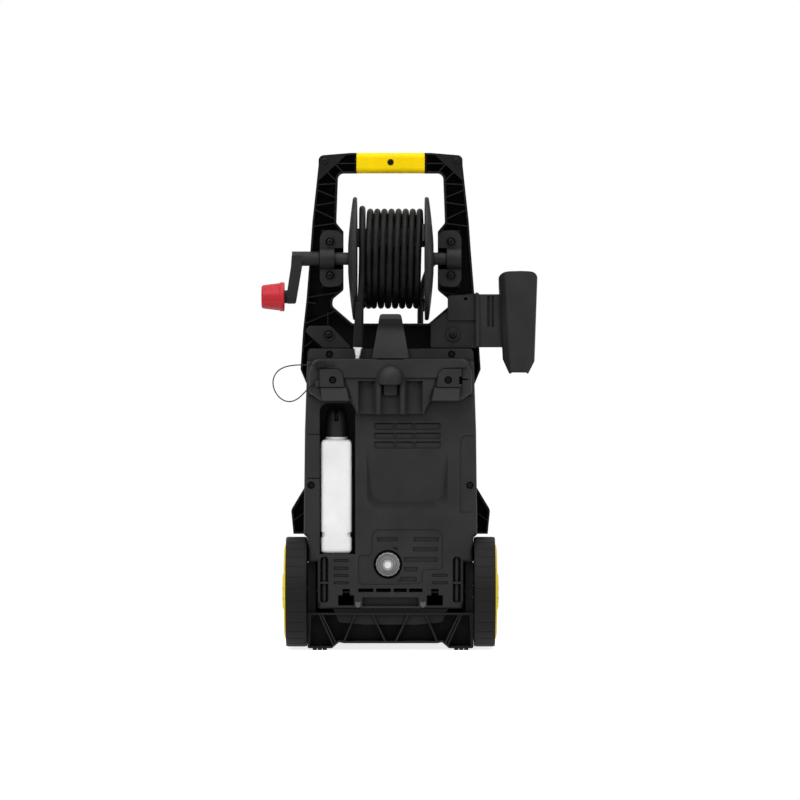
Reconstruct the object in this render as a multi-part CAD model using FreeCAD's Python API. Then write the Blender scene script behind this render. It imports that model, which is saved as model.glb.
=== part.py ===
"""Upright pressure washer with an open hose reel.

Millimetres, +Z up. The origin is on the floor, on the machine's mid-plane. The service side faces -Y: it
holds the reel, the accessory holder, the detergent bottle and the water inlet. The motor and pump are on
the +Y side.
"""

import FreeCAD
import Part
import math
import os

V = FreeCAD.Vector
ALONG_X = V(1, 0, 0)
ALONG_Y = V(0, 1, 0)
ALONG_Z = V(0, 0, 1)

# Clearances
SEAT = 0.3
RUN = 0.08
SIDE_PLAY = 0.4

# Main frame, from the deck up: crossbar, reel, room for a hand, grip
DECK_Z = 450.0
CROSSBAR_RISE = 36.5
CROSSBAR_TOP = DECK_Z + CROSSBAR_RISE
FLANGE_R = 93.0
REEL_CLEAR = 6.0
REEL_Y = -60.0
REEL_Z = CROSSBAR_TOP + REEL_CLEAR + FLANGE_R
HAND_ROOM = 36.1
GRIP_HEIGHT = 30.6
GRIP_LOW = REEL_Z + FLANGE_R + HAND_ROOM
GRIP_TOP = GRIP_LOW + GRIP_HEIGHT
HANDLE_TOP = GRIP_TOP - 0.2
FRAME_NEAR = REEL_Y
FRAME_DEPTH = 45.0
FRAME_FAR = FRAME_NEAR + FRAME_DEPTH
FRAME_WALL = 3.0
WEB_WALL = 1.8
FRAME_FOOT = 56.0
GUARD_HALF = 150.2

# Grip
GRIP_HALF = 51.4
GRIP_WALL = 3.4
GRIP_OVER = 2.0
GRIP_ROUND = 8.0
GRIP_SCREW_R = 2.2
GRIP_SCREW_Z = (GRIP_LOW + GRIP_TOP) / 2 + 0.9

# Reel
FLANGE_LEFT = -50.4
FLANGE_RIGHT = 51.3
FLANGE_WALL = 3.0
RIM_WIDTH = 6.6
DOME = 13.6
HUB_R = 24.0
HUB_SEAT = 6.0
CAGE_R = 65.8
CAGE_WALL = 4.5
CAGE_BAR_DEG = 27.0
CAGE_BARS_DEG = (30.0, 150.0, 270.0)
CLIP_R = 80.0
CLIP_WIDTH = 3.3
STUB_R = 9.5
NECK_STEP = 2.5
NECK_R = STUB_R - NECK_STEP - SEAT

# Bearings
BUSH_R = 14.0
SADDLE_R = 16.5
CAP_IN = 71.6
HUMP_IN = 84.7
CAP_OUT = 106.7
CAP_HALF_HEIGHT = 45.0
CAP_FLANGE = 4.0
CAP_SCREW_X = 91.0
CAP_SCREW_RISE = 25.3
CAP_SCREWS_Z = (REEL_Z - CAP_SCREW_RISE, REEL_Z + CAP_SCREW_RISE)
CAP_SCREW_R = 2.4
SWIVEL_X = 78.5
SWIVEL_HALF = 6.0

# Crank and knob
CRANK_R = 11.0
CRANK_REACH = 42.0
CRANK_OUT = CAP_OUT + CRANK_REACH
CRANK_THROW = 57.5
CRANK_PIN_R = 5.0
PIN_HEAD = 3.0
KNOB_BOSS_X = CRANK_OUT + 6.3
KNOB_IN = KNOB_BOSS_X + 4.6
KNOB_LENGTH = 35.1
KNOB_OUT = KNOB_IN + KNOB_LENGTH
KNOB_COLLAR = 6.0
KNOB_R_IN = 22.0
KNOB_R_OUT = 18.0
KNOB_FLUTES = 12

# Hose
HOSE_R = 4.75
WRAP_R = 70.95
WRAP_PITCH = 10.66
WRAP_FIRST_X = 41.4
WRAP_TURNS = 7
WRAP_LAST_X = -34.0
HOSE_SIDES = 8
LOOSE_WRAP_X = -44.7
LOOSE_WRAP_R = 73.5
SLEEVE_TOP_R = 5.7
SLEEVE_END_R = 8.0
SLEEVE_TOP = 527.0
SLEEVE_PLAY = 1.1
HOSE_END = V(-48.5, -132.5, 453.3)
NIPPLE_LENGTH = 17.3
NIPPLE_BORE_R = 1.6
NIPPLE_RINGS = 3
NIPPLE_STEP = 3.2

# Base: its half width places the skirts, the wheels and the feet
BASE_HALF = 124.2
HOUSING_HALF = BASE_HALF - 2.7
FRONT_HALF = BASE_HALF - 6.2
SKIRT_HALF = BASE_HALF
COVER_LOW_HALF = BASE_HALF - 14.7
WHEEL_IN = BASE_HALF + 0.6
BASE_NEAR = -143.0
BASE_FAR = 165.0
BASE_RECESS = 40.0
BASE_WALL = 3.0
BASE_RIB = 2.5
SOLE_Z = 3.0
FOOT_IN = BASE_HALF - 36.6
TREAD_STEP = 7.4
BASE_ARCH_Z = 10.5

# Rear cover
COVER_NEAR = -145.0
COVER_WALL = 3.0
COVER_ROUND = 7.0
BAND_NEAR = -118.0
BAND_LOW = DECK_Z - 18
COVER_HALF = 124.0
COVER_LOW = 62.0
SKIRT_TOP = 170.0
SKIRT_LOW = 132.0
LOUVRE_DEPTH = 2.0
CATCH_X = 66.3
POCKET = (296.0, 212.0, -35.4, 85.4)
SEAMS = {-1: (380.6, 323.2, 257.4), 1: (380.6,)}
COVER_SCREW_R = 4.3
COVER_SCREW_LENGTH = 14.0
SCREW_SINK = 6.0
PAD_X = 86.0
PAD_Z = 405.0
PAD_PROUD = 1.5

# Detergent bottle and its bay
BAY_LEFT = -105.9
BAY_RIGHT = -52.7
BAY_LOW = 144.0
BAY_TOP = 370.0
BAY_DEEP = -84.0
BOTTLE_LEFT = -104.6
BOTTLE_RIGHT = -57.6
BOTTLE_LOW = 144.4
BOTTLE_TOP = 314.6
BOTTLE_NEAR = -141.0
BOTTLE_FAR = -88.0
BOTTLE_WALL = 1.8
BOTTLE_NECK_R = 13.0
NECK_TOP = 336.0
CAP_R = 16.9
BOTTLE_CAP_TOP = 362.0
TUBE_R = 3.2

# Accessory holder and top hook
HOLDER_NEAR = -172.0
HOLDER_TOP = 435.8
HOLDER_LOW = 354.0
CLIP_SLOT_X = 35.5
CLIP_SLOT_R = 12.5
SOCKET_R = 15.0
HOOK_NEAR = -128.0
HOOK_TIP = -148.0
HOOK_TOP = 503.0
LUG_X = (-112.4, -106.0)

# Water inlet
INLET_X = -4.0
INLET_Z = 128.7
INLET_RECESS_R = 21.6
COLLAR_R = 17.0
NIPPLE_R = 10.8
INLET_BORE_R = 5.6

# Wheels
AXLE_Y = -105.0
AXLE_Z = 85.5
AXLE_R = 6.0
WHEEL_R = 82.0
WHEEL_WIDTH = 31.8
WHEEL_OUT = WHEEL_IN + WHEEL_WIDTH
DISC_R = 71.5
DISC_PROUD = 2.8
HUB_CAP_R = 28.0
HUB_CAP_OUT = WHEEL_OUT + 5.4
HUB_CAP_NOTCHES = (26.0, 6.5, -8.5, -20.5)

# Holster
HOLSTER_LEFT = 166.0
HOLSTER_RIGHT = 221.3
HOLSTER_TOP = 566.0
HOLSTER_LOW = 411.3
HOLSTER_NEAR = -98.0
HOLSTER_FAR = -24.0
HOLSTER_WALL = 3.0
ARM_IN = 131.0
ARM_LOW = DECK_Z + 2
ARM_TOP = DECK_Z + 82
ARM_DEPTH = 16.0
BRACKET_WALL = 5.0
BRACE_WALL = 3.5
BRACE_SCREW = (-93.2, DECK_Z + 20.7)

# Front housing, motor and pump
FRONT_FAR = 180.0
FRONT_TOP = DECK_Z
FRONT_WALL = 3.0
MOTOR_X = -18.0
MOTOR_Y = 88.0
STATOR_R = 50.0
STATOR_BORE = 31.0
STATOR_LOW = 225.0
STATOR_TOP = 355.0
SHAFT_R = 7.0
PUMP_R = 42.0
PUMP_LOW = 118.0
PUMP_TOP = 214.0
HEAD_LOW = 80.0
PISTON_R = 7.0
PISTON_RING = 22.0
SHIELD_H = 11.0
BEARING_R = 15.0
BEARING_H = 9.0
PIPE_R = 9.0
STUB_PIPE_R = 5.5
SWITCH_SHAFT_R = 5.0
GLAND_R = 8.0
WRAP_START_DEG = 150.0
WRAP_END_DEG = 100.0
LOOSE_START_DEG = 250.0
OUTLET_X = 45.6
OUTLET_Y = 76.0
SWITCH_Z = 330.0
SWITCH_R = 26.0


# ---------------------------------------------------------------- drawing helpers
def outline(points, y=0.0):
    """A closed wire in the plane at y, through (x, z) or (x, z, corner radius) points."""
    count = len(points)
    edges = []
    ends = []
    for i, point in enumerate(points):
        here = V(point[0], y, point[1])
        back = V(points[i - 1][0], y, points[i - 1][1])
        ahead = V(points[(i + 1) % count][0], y, points[(i + 1) % count][1])
        radius = point[2] if len(point) > 2 else 0.0
        if radius <= 0:
            ends.append((here, here, None))
            continue
        to_back = (back - here).normalize()
        to_ahead = (ahead - here).normalize()
        half = to_back.getAngle(to_ahead) / 2
        reach = radius / math.tan(half)
        middle = (to_back + to_ahead).normalize()
        bulge = here + middle * (radius / math.sin(half) - radius)
        ends.append((here + to_back * reach, here + to_ahead * reach, bulge))
    for i, (first, last, bulge) in enumerate(ends):
        if bulge is not None:
            edges.append(Part.Arc(first, bulge, last).toShape())
        following = ends[(i + 1) % count][0]
        if last.distanceToPoint(following) > 1e-6:
            edges.append(Part.LineSegment(last, following).toShape())
    return Part.Wire(edges)


def both_halves(left):
    """The left half's points, from the top down, closed by their mirror image."""
    right = [(-p[0],) + tuple(p[1:]) for p in reversed(left)]
    return left + right


def plate(points, near, far):
    """An outline in X and Z, extruded along Y from near to far."""
    return Part.Face(outline(points, near)).extrude(V(0, far - near, 0))


def block(x0, x1, y0, y1, z0, z1):
    return Part.makeBox(x1 - x0, y1 - y0, z1 - z0, V(x0, y0, z0))


def slab(x0, x1, z0, z1, near, far, corner):
    """A box with its four Y edges rounded."""
    ring = [(x0, z0, corner), (x0, z1, corner), (x1, z1, corner), (x1, z0, corner)]
    return plate(ring, near, far)


def rod(radius, start, axis, length):
    return Part.makeCylinder(radius, length, start, axis)


def rod_x(radius, x0, x1, y, z):
    return rod(radius, V(x0, y, z), ALONG_X, x1 - x0)


def rod_y(radius, y0, y1, x, z):
    return rod(radius, V(x, y0, z), ALONG_Y, y1 - y0)


def rod_z(radius, z0, z1, x, y):
    return rod(radius, V(x, y, z0), ALONG_Z, z1 - z0)


def turned(profile, origin, axis, radial):
    """A solid of revolution through (distance along the axis, radius) points."""
    corners = [origin + axis * a + radial * r for a, r in profile]
    face = Part.Face(Part.makePolygon(corners + [corners[0]]))
    return face.revolve(origin, axis, 360)


def mirrored(shape):
    return shape.mirror(V(0, 0, 0), ALONG_X)


def pair(shape):
    return Part.makeCompound([shape, mirrored(shape)])


def fused(first, *others):
    return first.multiFuse(list(others)).removeSplitter()


def cut(shape, *tools):
    for tool in tools:
        shape = shape.cut(tool)
    return shape


def around_axis(shape, origin, axis, count):
    """Copies of a shape, evenly spaced about an axis."""
    copies = []
    for i in range(count):
        copy = shape.copy()
        copy.rotate(origin, axis, 360.0 * i / count)
        copies.append(copy)
    return copies


def edges_where(shape, test):
    return [edge for edge in shape.Edges if test(edge)]


def lies_at_y(edge, y):
    return all(abs(vertex.Y - y) < 1e-3 for vertex in edge.Vertexes)


def screw(x, z, face, head_r, length):
    """A pan-head screw driven towards +Y, its head standing on the face."""
    head = rod_y(head_r, face - head_r * 0.45, face, x, z)
    shank = rod_y(head_r * 0.42, face, face + length, x, z)
    return head.fuse(shank)


def screw_hole(x, z, near):
    """The sunk seat and pilot hole of a cover screw."""
    seat = rod_y(COVER_SCREW_R + 1.5, near - 3, near + SCREW_SINK, x, z)
    pilot = rod_y(COVER_SCREW_R * 0.42 + SEAT, near, near + SCREW_SINK + COVER_SCREW_LENGTH + 1, x, z)
    return seat.fuse(pilot)


def edge_x(points, z):
    """Where a falling chain of (x, z) points crosses a height."""
    for (x0, z0), (x1, z1) in zip(points, points[1:]):
        if z1 <= z <= z0:
            return x0 + (x1 - x0) * (z0 - z) / (z0 - z1)
    raise ValueError("the height is off the edge")


# ---------------------------------------------------------------- main frame
FRAME_LEFT = [
    (-60.0, HANDLE_TOP),
    (-108.6, HANDLE_TOP - 4, 8),
    (-108.6, HANDLE_TOP - 18),
    (-118.0, REEL_Z + 55),
    (-121.0, REEL_Z + 13),
    (-127.0, REEL_Z - 62),
    (-132.0, CROSSBAR_TOP - 8),
    (-136.0, DECK_Z - 31.5, 6),
    (-125.0, DECK_Z - 58, 6),
    (-125.0, 248.0, 6),
    (-GUARD_HALF, 206.0, 8),
    (-GUARD_HALF + 3.5, SKIRT_TOP),
    (-HOUSING_HALF, SKIRT_TOP),
    (-HOUSING_HALF, FRAME_FOOT),
]
WINDOW_LEFT = [
    (-79.5, GRIP_LOW - 0.3, 9),
    (-82.2, REEL_Z + 54, 6),
    (-71.4, REEL_Z + 41.1),
    (-71.4, REEL_Z - 47.9, 6),
    (-87.5, CROSSBAR_TOP + 37.8, 8),
    (-88.5, CROSSBAR_TOP + 27.3, 8),
    (-57.9, CROSSBAR_TOP + 0.9, 6),
]
UPRIGHT_OUT = [(p[0], p[1]) for p in FRAME_LEFT[2:9]]
UPRIGHT_IN = [(p[0], p[1]) for p in WINDOW_LEFT]
# Heights of each web's outer and inner ends
UPRIGHT_WEBS = [(111.5, 113.1), (104.1, 91.5), (79.9, 85.2), (74.7, 58.8), (48.5, 53.5)]
LOWER_WEBS = [(-58.8, -50.1), (-98.9, -77.9)]
BACK_WALL_FACE = FRAME_FAR - FRAME_WALL
CORNER_SCREW = (99.2, HANDLE_TOP - 12.2)


def web(x0, z0, x1, z1, near=FRAME_NEAR, far=BACK_WALL_FACE, thick=WEB_WALL):
    """A thin stiffening web between two points, as deep as its channel."""
    run = V(x1 - x0, 0, z1 - z0)
    side = V(-run.z, 0, run.x).normalize() * (thick / 2)
    ends = [V(x0, near, z0), V(x1, near, z1)]
    corners = [ends[0] + side, ends[1] + side, ends[1] - side, ends[0] - side]
    face = Part.Face(Part.makePolygon(corners + [corners[0]]))
    return face.extrude(V(0, far - near, 0))


def frame_webs():
    """The left half's webs: across the upright, in the corners and in the guard."""
    webs = []
    for out_rise, in_rise in UPRIGHT_WEBS + LOWER_WEBS:
        z_out = REEL_Z + out_rise
        z_in = REEL_Z + in_rise
        webs.append(web(edge_x(UPRIGHT_OUT, z_out), z_out, edge_x(UPRIGHT_IN, z_in), z_in))
    webs.append(web(-127.5, CROSSBAR_TOP + 33.5, -112.0, CROSSBAR_TOP + 31.5))
    webs.append(web(-94.7, CROSSBAR_TOP, -94.7, CROSSBAR_TOP + 18.3))
    webs.append(web(-130.0, DECK_Z + 2.6, -117.6, DECK_Z + 11.7))
    webs.append(web(-80.0, HANDLE_TOP - 16, -GRIP_HALF, HANDLE_TOP - 16))
    webs.append(web(-96.5, HANDLE_TOP - 28, -81.0, HANDLE_TOP - 43))
    webs.append(web(-84.0, HANDLE_TOP - 16, -73.0, HANDLE_TOP - 28))
    webs.append(web(-GUARD_HALF + 1.2, 188.5, -HOUSING_HALF - 0.5, 208.0))
    return webs


def main_frame():
    """One moulding: handle, uprights, crossbar and the bulkhead behind the rear cover."""
    outer_wire = outline(both_halves(FRAME_LEFT), FRAME_NEAR)
    window_wire = outline(both_halves(WINDOW_LEFT), FRAME_NEAR)
    section = Part.makeFace([outer_wire, window_wire], "Part::FaceMakerBullseye")
    channel = section.makeOffset2D(-FRAME_WALL).extrude(V(0, FRAME_DEPTH - FRAME_WALL, 0))
    body = section.extrude(V(0, FRAME_DEPTH, 0)).cut(channel)
    inside = section.extrude(V(0, FRAME_DEPTH - FRAME_WALL, 0))
    solids = []
    for one in frame_webs():
        inner = one.common(inside)
        solids += [inner, mirrored(inner)]
    deck_half = HOUSING_HALF + 2
    solids.append(block(-deck_half, deck_half, FRAME_NEAR, BACK_WALL_FACE, DECK_Z - FRAME_WALL, DECK_Z))
    low = HANDLE_TOP - 42
    top = HANDLE_TOP
    corner = [(-112.0, low), (-108.6, low), (-67.5, top - 3.5), (-67.5, top), (-112.0, top)]
    gusset = plate(corner, FRAME_NEAR, FRAME_NEAR + FRAME_WALL)
    post = rod_y(6.5, FRAME_NEAR, BACK_WALL_FACE, -CORNER_SCREW[0], CORNER_SCREW[1])
    gusset = fused(gusset, post).common(inside)
    seat_low = REEL_Z - CAP_HALF_HEIGHT + 2
    seat_high = REEL_Z + CAP_HALF_HEIGHT - 2
    seat = block(-CAP_OUT + 2.2, -CAP_IN - 1, FRAME_NEAR, BACK_WALL_FACE, seat_low, seat_high).common(inside)
    body = fused(body, *solids, gusset, mirrored(gusset), seat, mirrored(seat))
    bar = block(-GRIP_HALF, GRIP_HALF, FRAME_NEAR - 5, FRAME_FAR + 5, GRIP_LOW - 1, GRIP_TOP + 1)
    half = GRIP_HALF + FRAME_WALL
    core = block(
        -half, half, FRAME_NEAR + GRIP_WALL, FRAME_FAR - GRIP_WALL, GRIP_LOW + GRIP_WALL, GRIP_TOP - GRIP_WALL
    )
    body = fused(body.cut(bar), core)
    for side in (-1, 1):
        body = body.cut(between_x(SADDLE_R, side * (CAP_IN - 5), side * HUMP_IN))
        body = body.cut(between_x(BUSH_R + SEAT, side * (HUMP_IN - 1), side * CAP_OUT))
        for z in CAP_SCREWS_Z:
            body = body.cut(rod_y(CAP_SCREW_R + SEAT, FRAME_NEAR - 1, FRAME_NEAR + 24, side * CAP_SCREW_X, z))
        x, z = CORNER_SCREW
        body = body.cut(rod_y(2.1 + SEAT, FRAME_NEAR - 1, FRAME_NEAR + 14, side * x, z))
    body = body.cut(rod_x(CRANK_R + 1.2, -130.0, -CAP_OUT, REEL_Y, REEL_Z))
    body = body.cut(rod_y(STUB_PIPE_R + SEAT, FRAME_NEAR + 10, FRAME_FAR + 1, SWIVEL_X, REEL_Z))
    body = body.cut(rod_y(PIPE_R + 2.0, BACK_WALL_FACE - 12, FRAME_FAR + 15, INLET_X, INLET_Z))
    return body.cut(rod_y(GRIP_SCREW_R + SEAT, FRAME_NEAR, FRAME_FAR, 0.0, GRIP_SCREW_Z))


def between_x(radius, x0, x1):
    """A rod on the reel's axis between two places, given in either order."""
    return rod_x(radius, min(x0, x1), max(x0, x1), REEL_Y, REEL_Z)


def grip_half(near):
    """One half shell of the grip, split along its mid depth."""
    low_y = FRAME_NEAR - GRIP_OVER
    high_y = FRAME_FAR + GRIP_OVER
    middle = (low_y + high_y) / 2
    shell = block(-GRIP_HALF, GRIP_HALF, low_y, high_y, GRIP_LOW, GRIP_TOP)
    long_edges = edges_where(shell, lambda e: abs(e.Vertexes[0].X - e.Vertexes[-1].X) > GRIP_HALF)
    shell = shell.makeFillet(GRIP_ROUND, long_edges)
    gap = GRIP_WALL - SEAT
    core = block(
        -GRIP_HALF - 1, GRIP_HALF + 1, FRAME_NEAR + gap, FRAME_FAR - gap, GRIP_LOW + gap, GRIP_TOP - gap
    )
    shell = shell.cut(core)
    room = GRIP_HALF + 5
    if near:
        shell = shell.cut(rod_y(5.0, low_y - 1, low_y + 2.4, 0.0, GRIP_SCREW_Z))
        shell = shell.cut(rod_y(GRIP_SCREW_R + SEAT, low_y - 1, middle, 0.0, GRIP_SCREW_Z))
        return shell.common(block(-room, room, low_y - 1, middle - 0.1, GRIP_LOW - 1, GRIP_TOP + 1))
    return shell.common(block(-room, room, middle + 0.1, high_y + 1, GRIP_LOW - 1, GRIP_TOP + 1))


def bearing_cap():
    """The left bearing cap: a plate with rounded ends, cut open over the saddle, and a half-round hump."""
    low = REEL_Z - CAP_HALF_HEIGHT
    high = REEL_Z + CAP_HALF_HEIGHT
    ends = [(-CAP_IN, low + 5, 10), (-CAP_IN, high - 5, 10), (-CAP_OUT, high, 14), (-CAP_OUT, low, 14)]
    flange = plate(ends, FRAME_NEAR - CAP_FLANGE, FRAME_NEAR)
    hump = between_x(BUSH_R + 2.5, -CAP_OUT, -HUMP_IN)
    hump = hump.common(block(-CAP_OUT, -HUMP_IN, REEL_Y - 40, FRAME_NEAR, REEL_Z - 30, REEL_Z + 30))
    body = fused(flange, hump)
    body = body.cut(between_x(BUSH_R + SEAT, -CAP_OUT - 1, -HUMP_IN + 1))
    body = body.cut(between_x(SADDLE_R, -HUMP_IN, -CAP_IN + 1))
    for z in CAP_SCREWS_Z:
        face = FRAME_NEAR - CAP_FLANGE
        ring = rod_y(8.0, face - 1.2, face, -CAP_SCREW_X, z)
        bowl = Part.makeCone(7.0, 5.6, 2.2, V(-CAP_SCREW_X, face - 1.2, z), ALONG_Y)
        body = fused(body, ring.common(block(-CAP_OUT, -CAP_IN, face - 2, face, low, high))).cut(bowl)
        body = body.cut(rod_y(CAP_SCREW_R + SEAT, face - 1, FRAME_NEAR + 1, -CAP_SCREW_X, z))
    return body


def bearing_bushes():
    """A bush under each cap's hump, bored for the end of its stub axle."""
    bore = between_x(STUB_R + RUN, -CAP_OUT - 1, -HUMP_IN + 1)
    left = between_x(BUSH_R, -CAP_OUT, -HUMP_IN - SEAT).cut(bore)
    right = between_x(BUSH_R, HUMP_IN + SEAT, CAP_OUT).cut(between_x(NECK_R + RUN, HUMP_IN - 1, CAP_OUT + 1))
    return Part.makeCompound([left, right])


def hose_swivel():
    """The ring round the right stub axle's neck that lets the hose supply into the turning reel."""
    ring = between_x(STUB_R, SWIVEL_X - SWIVEL_HALF, SWIVEL_X + SWIVEL_HALF)
    pipe = rod_y(STUB_PIPE_R, REEL_Y + NECK_R + 1, SUPPLY_ROUTE[0].y, SWIVEL_X, REEL_Z)
    return fused(ring, pipe).cut(between_x(NECK_R + RUN, HUMP_IN, SWIVEL_X - SWIVEL_HALF - 1))


# ---------------------------------------------------------------- reel
def reel_flange(side):
    """A domed disc with a rolled rim, a bored hub and a ring that seats the cage's bars."""
    face = -FLANGE_LEFT if side < 0 else FLANGE_RIGHT
    bore = STUB_R - NECK_STEP

    def spot(out, radius):
        return V(face + out, REEL_Y, REEL_Z + radius)

    def bend(*spots):
        return Part.Arc(*[spot(*one) for one in spots]).toShape()

    def lines(*spots):
        ends = [spot(*one) for one in spots]
        return [Part.LineSegment(a, b).toShape() for a, b in zip(ends, ends[1:])]

    wall = FLANGE_WALL
    rim_in = FLANGE_R - 6
    cage_out = CAGE_R + wall
    cage_in = CAGE_R - CAGE_WALL - wall
    inner = DOME - wall
    edges = lines((0, rim_in), (0, FLANGE_R - 2))
    edges += lines((0, FLANGE_R - 2), (0.6, FLANGE_R - 0.6), (2, FLANGE_R), (RIM_WIDTH - 2.6, FLANGE_R))
    edges += lines((RIM_WIDTH - 2.6, FLANGE_R), (RIM_WIDTH - 0.7, FLANGE_R - 1), (RIM_WIDTH, FLANGE_R - 3))
    edges += [bend((RIM_WIDTH, FLANGE_R - 3), (DOME - 1.7, 44.7), (DOME, HUB_R - 2))]
    seat = DOME - HUB_SEAT
    edges += lines((DOME, HUB_R - 2), (DOME, bore), (seat, bore), (seat, HUB_R), (inner, HUB_R))
    edges += [bend((inner, HUB_R), (inner - 0.9, 40.0), (inner - 2.2, cage_in))]
    edges += lines((inner - 2.2, cage_in), (0, cage_in), (0, cage_out), (inner - 3.9, cage_out))
    edges += [bend((inner - 3.9, cage_out), (inner - 5.1, 79.0), (RIM_WIDTH - wall, rim_in))]
    edges += lines((RIM_WIDTH - wall, rim_in), (0, rim_in))
    disc = Part.Face(Part.Wire(edges)).revolve(V(0, REEL_Y, REEL_Z), ALONG_X, 360)
    return mirrored(disc) if side < 0 else disc


def stub_axle(side):
    """A stub axle pressed into its flange's hub: the left one carries the crank, the right one the swivel."""
    face = (-FLANGE_LEFT if side < 0 else FLANGE_RIGHT) + DOME
    shoulder = CAP_OUT + SIDE_PLAY if side < 0 else SWIVEL_X - SWIVEL_HALF - SIDE_PLAY
    tip = CRANK_OUT - 6 if side < 0 else CAP_OUT
    neck = rod_x(NECK_R, face - HUB_SEAT, tip, REEL_Y, REEL_Z)
    body = fused(neck, rod_x(STUB_R, face, shoulder, REEL_Y, REEL_Z))
    return mirrored(body) if side < 0 else body


def drum_cage():
    """Three curved bars between the flanges, each with a hose guide at its right end."""
    bars = []
    left = FLANGE_LEFT + SEAT
    right = FLANGE_RIGHT - SEAT
    for angle in CAGE_BARS_DEG:
        start = Part.makeCylinder(
            CAGE_R, right - left, V(left, REEL_Y, REEL_Z), ALONG_X, CAGE_BAR_DEG
        )
        start = start.cut(rod_x(CAGE_R - CAGE_WALL, left - 1, right + 1, REEL_Y, REEL_Z))
        guide = Part.makeCylinder(
            CLIP_R, CLIP_WIDTH, V(right - CLIP_WIDTH, REEL_Y, REEL_Z), ALONG_X, CAGE_BAR_DEG * 0.8
        )
        guide = guide.cut(rod_x(CAGE_R - CAGE_WALL, left, right + 1, REEL_Y, REEL_Z))
        guide.rotate(V(0, REEL_Y, REEL_Z), ALONG_X, CAGE_BAR_DEG * 0.1)
        bar = start if angle == 150.0 else fused(start, guide)
        # A cylinder's sweep starts at +Z for this axis; turn it so that 0 degrees faces -Y
        bar.rotate(V(0, REEL_Y, REEL_Z), ALONG_X, turn_for(angle) - CAGE_BAR_DEG / 2)
        bars.append(bar)
    return Part.makeCompound(bars)


def turn_for(angle):
    """The rotation about +X that carries a cylinder's start, at +Z, to a reel angle."""
    goal = on_reel(angle, 1.0, 0.0)
    return math.degrees(math.atan2(goal.z - REEL_Z, goal.y - REEL_Y)) - 90


def crank_arm():
    """A tube on the left stub axle, an arm down to the knob and the boss that backs the knob."""
    knob_z = REEL_Z - CRANK_THROW
    inner = -CRANK_OUT + 15.3
    tube = rod_x(CRANK_R, -CRANK_OUT, -CAP_OUT - SIDE_PLAY * 2, REEL_Y, REEL_Z)
    shape = [
        (-CRANK_OUT, REEL_Z + 9, 6), (inner, REEL_Z + 9, 3), (inner, REEL_Z - 11),
        (-CRANK_OUT + 5.7, knob_z - 10.5, 3), (-KNOB_BOSS_X - 3, knob_z - 10.5, 4),
        (-KNOB_BOSS_X, knob_z + 14), (-CRANK_OUT - 1.5, REEL_Z - 12),
    ]
    arm = plate(shape, REEL_Y - CRANK_R, REEL_Y + CRANK_R)
    arm = arm.common(fused(
        rod_x(CRANK_R + 1, -KNOB_IN, -CAP_OUT, REEL_Y, REEL_Z),
        block(-KNOB_IN, -CAP_OUT, REEL_Y - CRANK_R, REEL_Y + CRANK_R, knob_z, REEL_Z),
        rod_x(CRANK_R, -KNOB_IN, -CAP_OUT, REEL_Y, knob_z),
    ))
    boss = rod_x(CRANK_R - 1, -KNOB_IN, -KNOB_BOSS_X + 6, REEL_Y, knob_z)
    socket = rod_x(STUB_R - NECK_STEP, -CRANK_OUT + 5, -CAP_OUT, REEL_Y, REEL_Z)
    pin_hole = rod_x(CRANK_PIN_R + SEAT, -KNOB_IN - 1, -CRANK_OUT + 0.7, REEL_Y, knob_z)
    return cut(fused(tube, arm, boss), socket, pin_hole)


def crank_pin():
    """The pin that the knob turns on, with its head sunk in the knob's outer face."""
    knob_z = REEL_Z - CRANK_THROW
    shank = rod_x(CRANK_PIN_R, -KNOB_OUT + PIN_HEAD, -CRANK_OUT + 0.4, REEL_Y, knob_z)
    head = rod_x(CRANK_PIN_R + PIN_HEAD, -KNOB_OUT + 1.0, -KNOB_OUT + PIN_HEAD + 0.5, REEL_Y, knob_z)
    return fused(shank, head)


def crank_knob():
    """A tapered knob with rounded flutes, turning on the crank pin."""
    knob_z = REEL_Z - CRANK_THROW
    out = -KNOB_OUT
    back = -KNOB_IN - SIDE_PLAY
    collar = back - KNOB_COLLAR
    profile = [
        (out, 0), (out, KNOB_R_OUT - 3), (out + 1, KNOB_R_OUT - 1.2), (out + 3, KNOB_R_OUT),
        (collar - 2, KNOB_R_IN - 1.2), (collar, KNOB_R_IN),
        (back - 1, KNOB_R_IN), (back, KNOB_R_IN - 1), (back, 0),
    ]
    body = turned(profile, V(0, REEL_Y, knob_z), ALONG_X, ALONG_Z)
    run = V(collar - out - 1, 0, KNOB_R_IN - KNOB_R_OUT - 1)
    flute = rod(2.6, V(out - 1, REEL_Y, knob_z + KNOB_R_OUT + 1.4), run, run.Length)
    for groove in around_axis(flute, V(0, REEL_Y, knob_z), ALONG_X, KNOB_FLUTES):
        body = body.cut(groove)
    bore = rod_x(CRANK_PIN_R + RUN, out - 1, -KNOB_IN, REEL_Y, knob_z)
    sunk_end = out + PIN_HEAD + 0.5 + SIDE_PLAY
    sunk = rod_x(CRANK_PIN_R + PIN_HEAD + SIDE_PLAY, out - 1, sunk_end, REEL_Y, knob_z)
    return cut(body, bore, sunk)


# ---------------------------------------------------------------- hose
def on_reel(angle, radius, x):
    """A point round the reel: 0 degrees faces -Y and 90 degrees is the top."""
    turn = math.radians(angle)
    return V(x, REEL_Y - radius * math.cos(turn), REEL_Z + radius * math.sin(turn))


def arc_between(start, corner, end):
    """The arc from start to end whose tangents meet at the corner."""
    chord = (start + end) * 0.5
    half = start.distanceToPoint(end) / 2
    height = chord.distanceToPoint(corner)
    if height < 1e-7:
        return Part.LineSegment(start, end).toShape()
    angle = math.atan2(height, half)
    middle = chord + (corner - chord) * (math.tan(angle / 2) / math.tan(angle))
    return Part.Arc(start, middle, end).toShape()


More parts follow.
